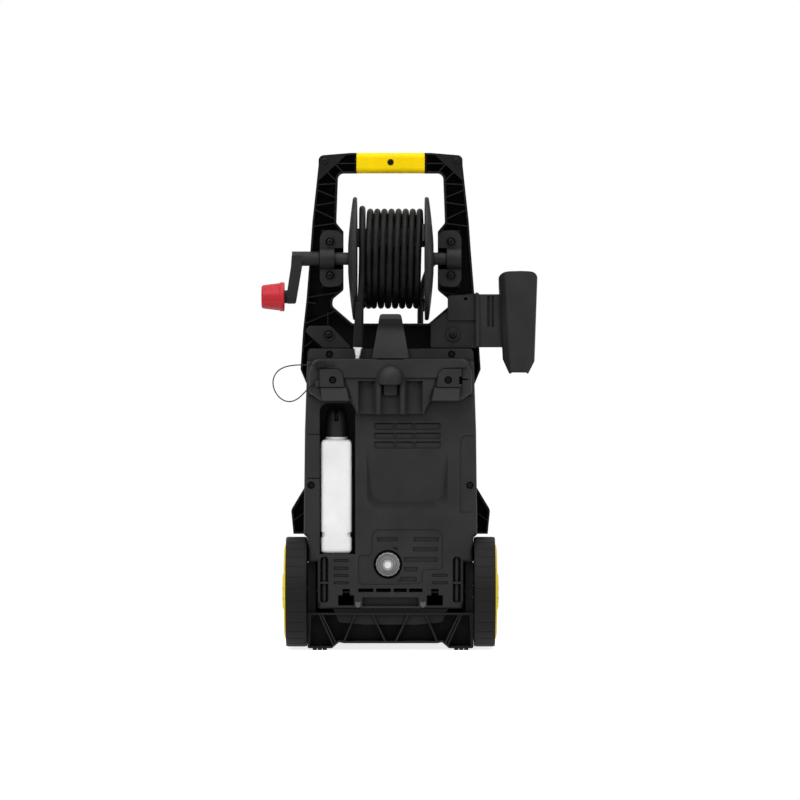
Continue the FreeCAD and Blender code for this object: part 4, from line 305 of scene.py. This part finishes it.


# crease_mm and the crease darkening set how far and how deep each finish's painted shade in creases goes.
FINISHES = {
    "frame_black": moulded(
        "frame black", tone(11, 11, 12), 0.55, wear_and_edge_highlight=0.02, gloss=0.12, crease_mm=14.0, crease_shade=0.95
    ),
    "reel_black": moulded("reel black", tone(29, 29, 30), 0.5, grain_mm=0.3, wear_and_edge_highlight=0.02),
    "cover_grey": moulded(
        "cover grey", tone(33, 33, 34), 0.56, grain_mm=0.4, wear_and_edge_highlight=0.03, crease_mm=6.0, crease_shade=0.95
    ),
    "grip_yellow": moulded("grip yellow", tone(255, 218, 0), 0.45, wear_and_edge_highlight=0.0, gloss=0.1, dust=0.0, crease_shade=0.35),
    "hub_yellow": moulded("hub yellow", tone(240, 234, 92), 0.4, wear_and_edge_highlight=0.05, crease_shade=0.35),
    "knob_red": moulded("knob red", tone(190, 32, 44), 0.42, wear_and_edge_highlight=0.01, gloss=0.25, crease_shade=0.35),
    "bottle_white": moulded("bottle white", tone(252, 252, 252), 0.36, grain_mm=0.8, wear_and_edge_highlight=0.0, crease_shade=0.15),
    "hose_rubber": rubber("hose rubber", tone(8, 8, 9), 0.5, gloss=0.14),
    "tread_rubber": rubber("tread rubber", tone(24, 24, 24), 0.62),
    "black_steel": moulded(
        "black steel", tone(7, 7, 8), 0.38, grain_mm=0.3, wear_and_edge_highlight=0.01, gloss=0.18, crease_mm=1.2
    ),
    "steel": metal("steel", (0.42, 0.41, 0.40), 0.34, (1.0, 1.0, 0.2)),
    "zinc": metal("zinc plate", (0.80, 0.81, 0.82), 0.24, (0.3, 1.0, 1.0)),
    # Its edges are painted much lighter: a painted highlight, with some wear.
    "connector_grey": moulded(
        "connector grey", tone(134, 134, 136), 0.36, wear_and_edge_highlight=0.8, gloss=0.5, crease_mm=2.4, crease_shade=0.95
    ),
    "aluminium": cast("cast aluminium", (0.78, 0.78, 0.79), 0.46),
    "brass": metal("brass", (0.78, 0.57, 0.25), 0.32),
    "inner_plastic": moulded("inner plastic", tone(62, 62, 64), 0.55),
}
SIEVE_STEEL = metal("sieve steel", (0.72, 0.73, 0.74), 0.3)
DARK_STEEL = metal("dark steel", (0.02, 0.02, 0.02), 0.4, (1.0, 1.0, 0.2))
WHEEL_BLACK = moulded("wheel black", tone(17, 17, 18), 0.6, grain_mm=0.5, wear_and_edge_highlight=0.015, gloss=0.15)
# The base gets deep painted shade in its creases, reaching 16 mm.
BASE_BLACK = moulded("base black", tone(21, 21, 22), 0.55, wear_and_edge_highlight=0.02, gloss=0.15, crease_mm=16.0, crease_shade=0.95)
HOOK_GREY = moulded("hook grey", tone(55, 55, 56), 0.52, grain_mm=0.4, wear_and_edge_highlight=0.03)
AXLE_GREY = moulded("axle grey", tone(50, 50, 51), 0.5, grain_mm=0.3, wear_and_edge_highlight=0.02)
CLIP_GREY = moulded("clip grey", tone(84, 84, 85), 0.45, wear_and_edge_highlight=0.08, gloss=0.3)
BY_NODE = {
    "inlet_filter": SIEVE_STEEL,
    "wheel_left": WHEEL_BLACK,
    "wheel_right": WHEEL_BLACK,
    "axle": DARK_STEEL,
    "axle_clips": DARK_STEEL,
    "base_frame": BASE_BLACK,
    "top_hook": HOOK_GREY,
    "stub_axle_left": AXLE_GREY,
    "stub_axle_right": AXLE_GREY,
    "hose_swivel": AXLE_GREY,
}


def paint_nodes():
    """Every frame node gets its own finish, or that of the slot that its imported material is named for."""
    for name, node in NODES.items():
        slot = node.data.materials[0].name.split(".")[0]
        node.data.materials[0] = BY_NODE.get(name) or FINISHES[slot]


# ---------------------------------------------------------------- making pieces
def spline(name, points, radius_mm, finish, rounds, steps):
    """A smooth round line through the hand of its control points, in metres."""
    data = bpy.data.curves.new(name, "CURVE")
    data.dimensions = "3D"
    data.bevel_depth = radius_mm * MM
    data.bevel_resolution = rounds
    data.resolution_u = steps
    data.use_fill_caps = True
    line = data.splines.new("NURBS")
    line.points.add(len(points) - 1)
    for place, point in zip(line.points, points):
        place.co = (*point, 1)
    line.order_u = 3
    line.use_endpoint_u = True
    data.materials.append(finish)
    return linked(name, data)


def linked(name, data):
    """A new object in the scene that holds the data."""
    made = bpy.data.objects.new(name, data)
    bpy.context.scene.collection.objects.link(made)
    return made


def mesh_from(name, bm):
    """A mesh that takes over what was built."""
    data = bpy.data.meshes.new(name)
    bm.to_mesh(data)
    bm.free()
    return data


def piece(name, bm, slot, body, *stands_for, finish=None):
    """A mesh that rides on a body and may stand for CAD nodes."""
    bmesh.ops.remove_doubles(bm, verts=bm.verts, dist=WELD * MM)
    bmesh.ops.recalc_face_normals(bm, faces=bm.faces)
    data = mesh_from(name, bm)
    data.shade_smooth()
    data.set_sharp_from_angle(angle=math.radians(SHARP_DEG))
    data.materials.append(finish or FINISHES[slot])
    made = linked(name, data)
    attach(made, body)
    if stands_for:
        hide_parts(*stands_for)


def skin(bm, rings, closed=False):
    """Faces between rings of points that have the same count."""
    verts = [[bm.verts.new(point) for point in ring] for ring in rings]
    pairs = list(zip(verts, verts[1:])) + ([(verts[-1], verts[0])] if closed else [])
    for one, other in pairs:
        for i in range(len(one)):
            j = (i + 1) % len(one)
            bm.faces.new((one[i], one[j], other[j], other[i]))
    return verts


def block_between(name, rings):
    """A closed mesh through rings of points in metres."""
    bm = bmesh.new()
    verts = skin(bm, rings)
    bm.faces.new(verts[0])
    bm.faces.new(verts[-1])
    bmesh.ops.recalc_face_normals(bm, faces=bm.faces)
    return linked(name, mesh_from(name, bm))


def carve(base, operation, tool):
    """Joins, cuts or crosses a mesh with a tool, which goes."""
    change = base.modifiers.new(operation, "BOOLEAN")
    change.operation = operation
    change.object = tool
    change.solver = "EXACT"
    shape = bpy.data.meshes.new_from_object(base.evaluated_get(bpy.context.evaluated_depsgraph_get()))
    base.modifiers.clear()
    base.data = shape
    bpy.data.objects.remove(tool)


def turned(profile, origin, along, steps, swell=None):
    """The rings of a turned form: pairs of place along the axis and radius, in millimetres."""
    along = Vector(along)
    side = Vector((0, 0, 1)) if abs(along.z) < 0.5 else Vector((1, 0, 0))
    other = along.cross(side)
    rings = []
    for place, radius in profile:
        ring = []
        for i in range(steps):
            turn = math.tau * i / steps
            out = radius if swell is None else swell(place, radius, turn)
            round_it = side * math.cos(turn) + other * math.sin(turn)
            ring.append((Vector(origin) + along * place + round_it * out) * MM)
        rings.append(ring)
    return rings


def solids_of(name):
    """The lowest and highest corners of each separate solid of a node, in millimetres."""
    bm = bmesh.new()
    bm.from_mesh(NODES[name].data)
    bmesh.ops.remove_doubles(bm, verts=bm.verts, dist=0.001 * MM)
    bm.verts.ensure_lookup_table()
    boxes, seen = [], set()
    for start in bm.verts:
        if start.index in seen:
            continue
        seen.add(start.index)
        waiting, found = [start], []
        while waiting:
            vert = waiting.pop()
            found.append(vert.co.copy())
            for edge in vert.link_edges:
                far = edge.other_vert(vert)
                if far.index not in seen:
                    seen.add(far.index)
                    waiting.append(far)
        low = Vector([min(co[i] for co in found) for i in range(3)]) / MM
        high = Vector([max(co[i] for co in found) for i in range(3)]) / MM
        boxes.append((low, high))
    bm.free()
    return boxes


# ---------------------------------------------------------------- hoses and tether
def cord(name, points, radius_mm, body, stands_for, rounds=6, steps=6, **said):
    """A line through its control points that rides on a body; what is said of it as a cord is not used."""
    made = spline(name, points, radius_mm, FINISHES["hose_rubber"], rounds, steps)
    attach(made, body)
    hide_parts(stands_for)


def on_reel(angle, radius, x):
    """A point round the reel: 0 degrees faces the service side and 90 degrees is the top."""
    turn = math.radians(angle)
    return at(x, REEL[1] - radius * math.cos(turn), REEL[2] + radius * math.sin(turn))


def pulled_out(radius):
    """A coil's control points lie outside its line."""
    return radius / math.cos(math.pi / STEPS_A_TURN)


def wound_hose():
    """Seven close turns that climb on from the guide at the right."""
    total = WRAP_START_DEG + 360 * WRAP_TURNS + WRAP_END_DEG
    count = round(total / 360 * STEPS_A_TURN)
    points = []
    for i in range(count + 1):
        turned_by = total * i / count
        x = max(WRAP_FIRST_X - WRAP_PITCH * (turned_by - WRAP_START_DEG) / 360, WRAP_LAST_X)
        points.append(on_reel(WRAP_START_DEG - turned_by, pulled_out(WRAP_R), x))
    cord(
        "wound_hose", points, HOSE_R, "reel", "hose_winding", length=math.radians(total) * WRAP_R * MM,
        far_end="object", stiffness="medium", lay="coiled",
    )


def free_hose():
    """The first turn round the reel, then the end that hangs from it."""
    count = round(LOOSE_START_DEG / 360 * STEPS_A_TURN)
    points = [
        on_reel(LOOSE_START_DEG * (1 - i / count), pulled_out(LOOSE_R), LOOSE_X) for i in range(count + 1)
    ]
    points += [at(-43.4, -134.8, 548.0), at(-46.2, -134.2, 500.0), HOSE_END]
    cord(
        "free_hose", points, HOSE_R, "chassis", "hose_free_end",
        length=(math.radians(LOOSE_START_DEG) * LOOSE_R + LOOSE_DROP) * MM,
        far_end="fitting", stiffness="medium", lay="hanging",
        with_pieces=[NODES["hose_sleeve"], NODES["hose_nipple"]],
    )


def supply_hose():
    """From the swivel on the reel's right over the crossbar and down into the housing."""
    points = [
        at(78.5, 0.0, 585.5), at(78.5, 26.0, 585.5), at(71.0, 50.0, 583.5), at(62.0, 71.0, 576.5),
        at(53.5, 85.5, 560.0), at(47.6, 91.0, 537.0), at(45.6, 89.0, 512.0), at(45.4, 82.0, 489.0),
        at(45.6, 76.0, 469.0), at(45.6, 76.0, 452.5),
    ]
    cord(
        "supply_hose", points, HOSE_R, "chassis", "hose_supply_run", length=SUPPLY_LENGTH,
        far_end="object", stiffness="medium", lay="loose",
    )


def tether():
    """The thin loop that keeps the nozzle needle with the machine."""
    points = [
        at(-112.5, -174.2, 427.3), at(-125.0, -174.2, 427.6), at(-142.0, -173.0, 427.4),
        at(-158.5, -170.5, 424.6), at(-170.5, -168.5, 416.5), at(-175.9, -167.0, 403.0),
        at(-173.0, -166.0, 388.5), at(-163.8, -165.5, 376.5), at(-151.5, -166.0, 371.6),
        at(-139.0, -167.4, 375.6), at(-128.4, -168.9, 385.8), at(-120.0, -169.8, 395.0),
        at(-112.5, -170.0, 400.0),
    ]
    cord(
        "tether", points, TETHER_R, "chassis", "needle_tether", rounds=4, steps=10, length=TETHER_LENGTH,
        far_end="object", stiffness="limp", lay="loose",
    )


# ---------------------------------------------------------------- screws
SCREW_UNIT = 10.0
HEAD_HEIGHT = 0.45
SHANK_SHARE = 0.42
HEAD_TURN_DEG = 37


def screw_head():
    """A domed pan head with a cross recess, facing -Y, of radius SCREW_UNIT millimetres."""
    shape = [
        (0, 0), (0, 1), (0.16, 1), (0.27, 0.96), (0.36, 0.86), (0.42, 0.68), (0.445, 0.4), (HEAD_HEIGHT, 0),
    ]
    bm = bmesh.new()
    skin(bm, turned([(a * SCREW_UNIT, r * SCREW_UNIT) for a, r in shape], (0, 0, 0), (0, -1, 0), 48))
    bmesh.ops.remove_doubles(bm, verts=bm.verts, dist=WELD * MM)
    bmesh.ops.recalc_face_normals(bm, faces=bm.faces)
    head = linked("screw_head", mesh_from("screw_head", bm))
    rings = []
    for depth, share in ((HEAD_HEIGHT + 0.1, 1.08), (HEAD_HEIGHT - 0.26, 0.62)):
        ring = []
        for quarter in range(4):
            turn = Matrix.Rotation(math.radians(-90 * quarter), 3, "Y")
            for x, z in ((0.13, 0.52), (-0.13, 0.52), (-0.13, 0.13)):
                ring.append(turn @ Vector((x * share, -depth, z * share)) * SCREW_UNIT * MM)
        rings.append(ring)
    carve(head, "DIFFERENCE", block_between("cross", rings))
    made = head.data
    bpy.data.objects.remove(head)
    return made


def screws(name, node, template):
    """One piece with a cross-recessed screw where each of the node's solids stands."""
    bm = bmesh.new()
    for number, (low, high) in enumerate(sorted(solids_of(node), key=lambda box: tuple(box[0]))):
        radius = (high.x - low.x) / 2
        face = low.y + radius * HEAD_HEIGHT
        middle = Vector(((low.x + high.x) / 2, face, (low.z + high.z) / 2))
        before = len(bm.verts)
        bm.from_mesh(template)
        bm.verts.ensure_lookup_table()
        move = Matrix.Translation(middle * MM) @ Matrix.Rotation(math.radians(HEAD_TURN_DEG * number), 4, "Y")
        move = move @ Matrix.Scale(radius / SCREW_UNIT, 4)
        bmesh.ops.transform(bm, matrix=move, verts=bm.verts[before:])
        core, tip = radius * SHANK_SHARE, high.y - face
        shank = [(0.02, 0), (0.02, core), (tip - 1.5, core), (tip, 0.5), (tip, 0)]
        skin(bm, turned(shank, middle, (0, 1, 0), 16))
    piece(name, bm, "black_steel", "chassis", node)


# ---------------------------------------------------------------- crank knob
FLUTES = 6
FLUTE_TURN_DEG = 47
FLUTE_HALF_DEG = 7
FLUTE_DEPTH = 0.85
FLAT_DEPTH = 0.35


def reel_knob():
    """The tapered knob on the crank: six shallow flutes, a collar, and a well for its pin's head."""
    low, high = box_mm("crank_knob")
    length = high.x - low.x
    rim = (high.z - low.z) / 2
    collar = length - 6
    profile = [
        (3.9, 5.3), (3.9, 8.4), (1.0, 8.4), (0.5, 8.6), (0.15, 9.1), (0, 9.9), (0, 14.2), (0.12, 15.2),
        (0.5, 16.2), (1.2, 17.0), (2.2, 17.6), (3.4, 18.0),
    ]
    taper = 12
    for i in range(1, taper + 1):
        share = i / taper
        profile.append((3.4 + (collar - 5.4) * share, 18.0 + (rim - 19.2) * share))
    profile += [
        (collar - 0.8, rim - 0.9), (collar - 0.2, rim - 0.25), (collar + 0.4, rim), (length - 1.4, rim),
        (length - 0.6, rim - 0.2), (length - 0.1, rim - 0.8), (length, rim - 1.4), (length, 5.3),
    ]

    def fluted(place, radius, turn):
        if radius < 14:
            return radius
        fade = max(0, min(1, (place - 0.2) / 2.6, (collar - 1.2 - place) / 2.5))
        apart = 360 / FLUTES
        off = (math.degrees(turn) - FLUTE_TURN_DEG + apart / 2) % apart - apart / 2
        crown = FLAT_DEPTH * (1 - math.cos(math.radians(off * FLUTES))) / 2
        flute = FLUTE_DEPTH * max(0, 1 - (off / FLUTE_HALF_DEG) ** 2)
        return radius - fade * (FLAT_DEPTH - crown + flute)

    middle = (low.x, (low.y + high.y) / 2, (low.z + high.z) / 2)
    bm = bmesh.new()
    skin(bm, turned(profile, middle, (1, 0, 0), 240, fluted), closed=True)
    piece("reel_knob", bm, "knob_red", "knob", "crank_knob")


# ---------------------------------------------------------------- bottle
def rounded_ring(middle, half_x, half_y, power, z, left=0.0, steps=128):
    """A section between an ellipse and a rectangle, in metres; left pushes its left side out."""
    ring = []
    for i in range(steps):
        turn = math.tau * i / steps
        c, s = math.cos(turn), math.sin(turn)
        reach = (abs(c / half_x) ** power + abs(s / half_y) ** power) ** (-1 / power)
        x, y = reach * c, reach * s
        if c < 0:
            x -= left * max(0, 1 - (y / 14) ** 4)
        ring.append(at(middle[0] + x, middle[1] + y, z))
    return ring


def bottle():
    """A blown bottle: soft shoulders, a pinched waist, three pads, a footed base and a neck ring."""
    low, high = box_mm("detergent_bottle")
    middle = ((low.x + high.x) / 2, (low.y + high.y) / 2)
    half = ((high.x - low.x) / 2, (high.y - low.y) / 2)
    base = low.z

    def level(z, inset, left=0.0, pinch=0.0, power=9.0):
        return rounded_ring(middle, half[0] - inset - pinch, half[1] - inset, power, z, left)

    rings = [level(base + 2.2, 22.5), level(base + 2.2, 12), level(base + 1.2, 8.5), level(base, 6.4)]
    foot = ((0.3, 4.4), (1.2, 2.6), (2.7, 1.1), (4.6, 0.3), (7, 0))
    rings += [level(base + rise, inset) for rise, inset in foot]
    heights = [WAIST_Z - 6]
    for step in range(-6, 7):
        heights.append(WAIST_Z + WAIST_R * math.sin(math.radians(15 * step)))
    for pad in sorted(PAD_HEIGHTS):
        heights += [pad - 3.4, pad - 2.6, pad - 1.6, pad + 1.6, pad + 2.6, pad + 3.4]
    for z in sorted(heights):
        off = abs(z - WAIST_Z)
        pinch = math.sqrt(max(0, WAIST_R ** 2 - off ** 2))
        near_pad = min(abs(z - pad) for pad in PAD_HEIGHTS)
        rings.append(level(z, 0, left=0.8 * max(0, min(1, (3.3 - near_pad) / 1.4)), pinch=pinch))
    for drop, inset in ((7, 0), (4.8, 0.3), (3.0, 1.0), (1.6, 2.1), (0.6, 3.6), (0.1, 5.4)):
        rings.append(level(SHOULDER_Z - drop, inset))
    circles = [
        (0.05, NECK_RING_R - 0.5), (0.9, NECK_RING_R - 0.5), (1.3, NECK_RING_R), (3.5, NECK_RING_R),
        (4.0, NECK_RING_R - 0.4), (4.1, NECK_R), (high.z - SHOULDER_Z, NECK_R),
        (high.z - SHOULDER_Z, NECK_R - BOTTLE_WALL), (-6, NECK_R - BOTTLE_WALL),
    ]
    rings += [rounded_ring(middle, r, r, 2.0, SHOULDER_Z + rise) for rise, r in circles]
    rings += [level(SHOULDER_Z - 8, 5), level(SHOULDER_Z - 12, BOTTLE_WALL), level(base + 9, BOTTLE_WALL)]
    rings += [level(base + 4.4, 7), level(base + 4.2, 22.5)]
    bm = bmesh.new()
    verts = skin(bm, rings)
    bm.faces.new(verts[0])
    bm.faces.new(verts[-1])
    piece("bottle", bm, "bottle_white", "bottle", "detergent_bottle")


# ---------------------------------------------------------------- carved pieces
def softened(corners, steps=6):
    """The points of a flat outline of (across, up, rounding) corners."""
    points = []
    for i, (across, up, rounding) in enumerate(corners):
        here = Vector((across, up))
        if not rounding:
            points.append(here)
            continue
        before = Vector(corners[i - 1][:2]) - here
        after = Vector(corners[(i + 1) % len(corners)][:2]) - here
        start, end = here + before.normalized() * rounding, here + after.normalized() * rounding
        for k in range(steps + 1):
            t = k / steps
            points.append(start * (1 - t) ** 2 + here * 2 * t * (1 - t) + end * t ** 2)
    return points


def slab(name, corners, levels):
    """An outline in X and Z carried along Y through (y, ease) levels; ease draws it in."""
    points = softened(corners)
    middle = sum(points, Vector((0, 0))) / len(points)
    rings = []
    for y, ease in levels:
        ring = []
        for point in points:
            inward = (middle - point).normalized() * ease
            ring.append(at(point.x + inward.x, y, point.y + inward.y))
        rings.append(ring)
    return block_between(name, rings)


def taken(base):
    """The mesh of a carved form, whose object goes."""
    bm = bmesh.new()
    bm.from_mesh(base.data)
    bpy.data.objects.remove(base)
    return bm


HOLSTER_TOP = 567.2
HOLSTER_LOW = 411.3
HOLSTER_WALL = 3.0


def holster_section(z, inset):
    """The sleeve at a height: a flat front between a slanting left flank and a rounded right one."""
    taper = (HOLSTER_TOP - z) / (HOLSTER_TOP - HOLSTER_LOW)
    left, right = 162.0 + 8.6 * taper + inset, 221.1 - 5.1 * taper - inset
    near, far = -98.0 + 6 * taper + inset, -24.0 - 14 * taper - inset
    corners = [
        (left + 9.5, near, 2.5), (right, near, 9), (right, far, 9), (left, far, 9), (left, near + 12, 5),
    ]
    return [at(point.x, point.y, z) for point in softened(corners)]


def holster():
    """The gun's sleeve: arched above, drawn in below, open at both ends, on a grooved arm."""
    body = block_between("holster", [holster_section(z, 0) for z in (405, 570)])
    outline = [
        (161.5, 566.2, 17), (196.0, HOLSTER_TOP, 0), (221.1, 566.2, 13), (221.1, 440.0, 0), (217.3, 433.0, 2),
        (206.5, 411.9, 1.5), (204.3, 414.2, 0), (182.8, 414.4, 0), (179.2, 411.9, 1.5), (169.6, 433.0, 2),
        (161.5, 445.0, 0),
    ]
    carve(body, "INTERSECT", slab("holster outline", outline, [(-110, 0), (-10, 0)]))
    arm = [(131.3, 452.0, 3), (131.3, 532.0, 5), (176.0, 532.0, 0), (176.0, 452.0, 0)]
    carve(body, "UNION", slab("holster arm", arm, [(-60.4, 0), (-74.8, 0), (-75.7, 0.3), (-76.0, 1.2)]))
    strip = [(128.4, 453.0, 2), (128.4, 535.5, 2), (134.0, 533.0, 2), (134.0, 453.0, 2)]
    carve(body, "UNION", slab("clasp strip", strip, [(-68.6, 0), (-77.4, 0), (-78.0, 0.7)]))
    carve(body, "DIFFERENCE", block_between("bore", [holster_section(z, HOLSTER_WALL) for z in (400, 575)]))
    for x in (147.5, 153.9):
        groove = [(x - 1.9, 482.5, 1.8), (x - 1.9, 529.6, 1.2), (x + 1.9, 529.6, 1.2), (x + 1.9, 482.5, 1.8)]
        carve(body, "DIFFERENCE", slab("groove", groove, [(-80, 0), (-74.2, 0), (-73.0, 0.8)]))
    rise = [(-103, 576), (-19, 576), (-19, 533)]
    rear = block_between("rear scoop", [[at(x, y, z) for y, z in rise] for x in (100, 300)])
    carve(body, "DIFFERENCE", rear)
    piece("holster", taken(body), "cover_grey", "chassis", "gun_holster")


# ---------------------------------------------------------------- water inlet and slots
INLET_LUGS = 16
INLET_BORE = 11.1
LUG_DEPTH = 0.55
LEFT_SLOTS_Z = (134.5, 123.0, 112.0, 101.0)
RIGHT_SLOTS_Z = (112.5, 101.0)
SLOT_HALF = 1.8


def inlet_ring():
    """The inlet's screw ring: two grooves in its face and sixteen slight lugs round it."""
    low, high = box_mm("inlet_collar")
    length = high.y - low.y
    rim = (high.x - low.x) / 2
    bore = INLET_BORE
    profile = [
        (0.5, bore), (0, bore + 0.5), (0, bore + 1.3), (0.8, bore + 1.6), (0.8, bore + 2.5), (0, bore + 2.8),
        (0, bore + 3.6), (1.0, bore + 3.9), (1.0, bore + 4.6), (0.2, bore + 4.9), (0.5, rim - 1.2),
        (1.4, rim - 0.3), (2.2, rim), (length, rim), (length, bore),
    ]

    def lugged(place, radius, turn):
        if radius < rim - 0.9:
            return radius
        return radius - LUG_DEPTH * (0.5 - 0.5 * math.cos(INLET_LUGS * turn)) ** 2

    middle = ((low.x + high.x) / 2, low.y, (low.z + high.z) / 2)
    bm = bmesh.new()
    skin(bm, turned(profile, middle, (0, 1, 0), 192, lugged), closed=True)
    piece("inlet_ring", bm, "connector_grey", "chassis", "inlet_collar")


def slot_floors():
    """The blind floors of the short slots on both sides of the cover's foot."""
    slots = [(-85.0, -62.7, z) for z in LEFT_SLOTS_Z] + [(62.4, 85.5, z) for z in RIGHT_SLOTS_Z]
    for number, (left, right, z) in enumerate(slots):
        left, right = left + 0.4, right - 0.4
        low, high = z - SLOT_HALF, z + SLOT_HALF
        corners = [(left, low, 1.6), (left, high, 1.6), (right, high, 1.6), (right, low, 1.6)]
        base = slab("slot floor", corners, [(-142.3, 0), (-143.2, 0), (-143.5, 0.3)])
        piece("slot_floor_%d" % number, taken(base), "cover_grey", "chassis")


# ---------------------------------------------------------------- wheels
TREAD_PADS = 30
PAD_STEPS = 5
PAD_END = 2.4
PAD_GAP = 0.9


def tread_pads(side):
    """Shallow pads round a wheel's tread, parted by cross grooves."""
    word = "left" if side < 0 else "right"
    low, high = box_mm("wheel_" + word)
    radius = (high.z - low.z) / 2
    middle = Vector((0, (low.y + high.y) / 2, (low.z + high.z) / 2))
    bm = bmesh.new()
    for pad in range(TREAD_PADS):
        rings = []
        for lift, ease in ((-0.4, 0.0), (0.2, 0.0), (0.38, 0.35), (0.42, 0.9)):
            ring = []
            x_low, x_high = low.x + PAD_END + ease, high.x - PAD_END - ease
            start = math.tau * pad / TREAD_PADS + (PAD_GAP + ease) / radius
            end = math.tau * (pad + 1) / TREAD_PADS - (PAD_GAP + ease) / radius
            turns = [start + (end - start) * i / PAD_STEPS for i in range(PAD_STEPS + 1)]
            corners = [(x_low, turn) for turn in turns] + [(x_high, turn) for turn in reversed(turns)]
            for x, turn in corners:
                out = radius + lift
                ring.append((middle + Vector((x, -math.sin(turn) * out, math.cos(turn) * out))) * MM)
            rings.append(ring)
        verts = skin(bm, rings)
        bottom, top = verts[0], verts[-1]
        for i in range(PAD_STEPS):
            for row in (bottom, top):
                bm.faces.new((row[i], row[i + 1], row[-i - 2], row[-i - 1]))
    piece("tread_" + word, bm, "reel_black", word + "_wheel", finish=WHEEL_BLACK)


# ---------------------------------------------------------------- small clips at the cover's foot
def foot_clip(side):
    """A small folded tongue beside the catch that holds the cover's foot."""
    word = "left" if side < 0 else "right"
    low_x, high_x = sorted((side * 44.6, side * 52.6))
    near, far = COVER_NEAR - 1.1, COVER_NEAR + 0.4
    low_z, high_z = 63.6, 73.6
    bm = bmesh.new()
    mid = (low_x + high_x) / 2
    rings = []
    for y, fold, ease in ((far, 0.0, 0.0), (near + 0.5, 0.5, 0.0), (near, 0.5, 0.6)):
        left, right = low_x + ease, high_x - ease
        rings.append([
            at(left, y, low_z + 2.4 + ease), at(mid, y + fold, low_z + ease),
            at(right, y, low_z + 2.4 + ease),
            at(right, y, high_z - ease), at(mid, y + fold, high_z - 1.6 - ease), at(left, y, high_z - ease),
        ])
    verts = skin(bm, rings)
    for row in (verts[0], verts[-1]):
        bm.faces.new((row[0], row[1], row[4], row[5]))
        bm.faces.new((row[1], row[2], row[3], row[4]))
    piece("foot_clip_" + word, bm, "connector_grey", "chassis", finish=CLIP_GREY)


# ---------------------------------------------------------------- stage, light and camera
FLOOR_LIFT = 0.8
FLOOR_HALF_M = 30.0
LAMPS = (
    ("key", (-1.1, -2.2, 2.6), (2.4, 1.6), 52),
    ("top", (0.3, -0.3, 3.2), (2.2, 2.2), 40),
    ("fill", (2.4, -2.4, 1.2), (1.8, 1.8), 12),
)
LAMP_AIM = (0, 0, 0.4)
CAMERA_FAR_M = 8.0
CAMERA_RISE_DEG = 1.5
SENSOR_MM = 36
VIEW_WIDTH_M = 1.2


def area_lamp(name, place, size, power):
    """A wide soft lamp that looks at the middle of the machine."""
    data = bpy.data.lights.new(name, "AREA")
    data.shape = "RECTANGLE"
    data.size, data.size_y = size
    data.energy = power
    lamp = linked(name, data)
    lamp.location = place
    lamp.rotation_euler = (Vector(LAMP_AIM) - Vector(place)).to_track_quat("-Z", "Y").to_euler()


def studio():
    """A pale floor that turns white further out, an even white sky, and large soft lamps."""
    world = bpy.data.worlds.new("studio")
    bpy.context.scene.world = world
    sky = Paint(world)
    soft = sky.node("ShaderNodeBackground", {}, {"Color": (1, 1, 1), "Strength": 0.36})
    white = sky.node("ShaderNodeBackground", {}, {"Color": (1, 1, 1), "Strength": 1.0})
    both = sky.node("ShaderNodeMixShader", {}, {0: sky.seen_directly(), 1: soft, 2: white})
    sky.feed(sky.tree.nodes["World Output"].inputs["Surface"], both)

    bm = bmesh.new()
    bmesh.ops.create_grid(bm, x_segments=1, y_segments=1, size=FLOOR_HALF_M)
    floor = linked("floor", mesh_from("floor", bm))
    paint = Paint(bpy.data.materials.new("pale floor"))
    paint.finish(Base_Color=(0.84, 0.84, 0.84), Roughness=0.9, Specular_IOR_Level=0.0)
    seen = paint.seen_directly()
    lift = paint.node("ShaderNodeEmission", {}, {"Color": (1, 1, 1), "Strength": FLOOR_LIFT})
    plain = Value(paint, paint.tree.nodes["Principled BSDF"].outputs[0])
    added = paint.node("ShaderNodeAddShader", {}, {0: plain, 1: lift})
    near = paint.node("ShaderNodeMixShader", {}, {0: seen, 1: plain, 2: added})
    glow = paint.node("ShaderNodeEmission", {}, {"Color": (1, 1, 1), "Strength": 1.0})
    reach = paint.node("ShaderNodeVectorMath", {"operation": "LENGTH"}, {0: paint.place()}, out="Value")
    beyond = reach.between(0.35, 1.1) * seen
    ground = paint.node("ShaderNodeMixShader", {}, {0: beyond, 1: near, 2: glow})
    paint.feed(paint.tree.nodes["Material Output"].inputs["Surface"], ground)
    floor.data.materials.append(paint.owner)
    for lamp in LAMPS:
        area_lamp(*lamp)


def camera():
    """Straight on to the service side, from far enough for almost parallel lines."""
    data = bpy.data.cameras.new("camera")
    data.sensor_width = SENSOR_MM
    data.lens = SENSOR_MM * CAMERA_FAR_M / VIEW_WIDTH_M
    data.clip_end = 60
    lens = linked("camera", data)
    rise = math.radians(CAMERA_RISE_DEG)
    aim = at(14.2, -110, 373.6)
    back = Vector((0, -math.cos(rise), math.sin(rise)))
    lens.location = aim + back * CAMERA_FAR_M
    lens.rotation_euler = (-back).to_track_quat("-Z", "Y").to_euler()
    bpy.context.scene.camera = lens


bpy.context.scene.view_settings.view_transform = "Standard"
camera()
wound_hose()
free_hose()
supply_hose()
tether()
studio()
paint_nodes()
cross_head = screw_head()
screws("frame_screw_heads", "frame_screws", cross_head)
screws("cover_screw_heads", "cover_screws", cross_head)
reel_knob()
bottle()
holster()
inlet_ring()
slot_floors()
for hand in (-1, 1):
    tread_pads(hand)
    foot_clip(hand)
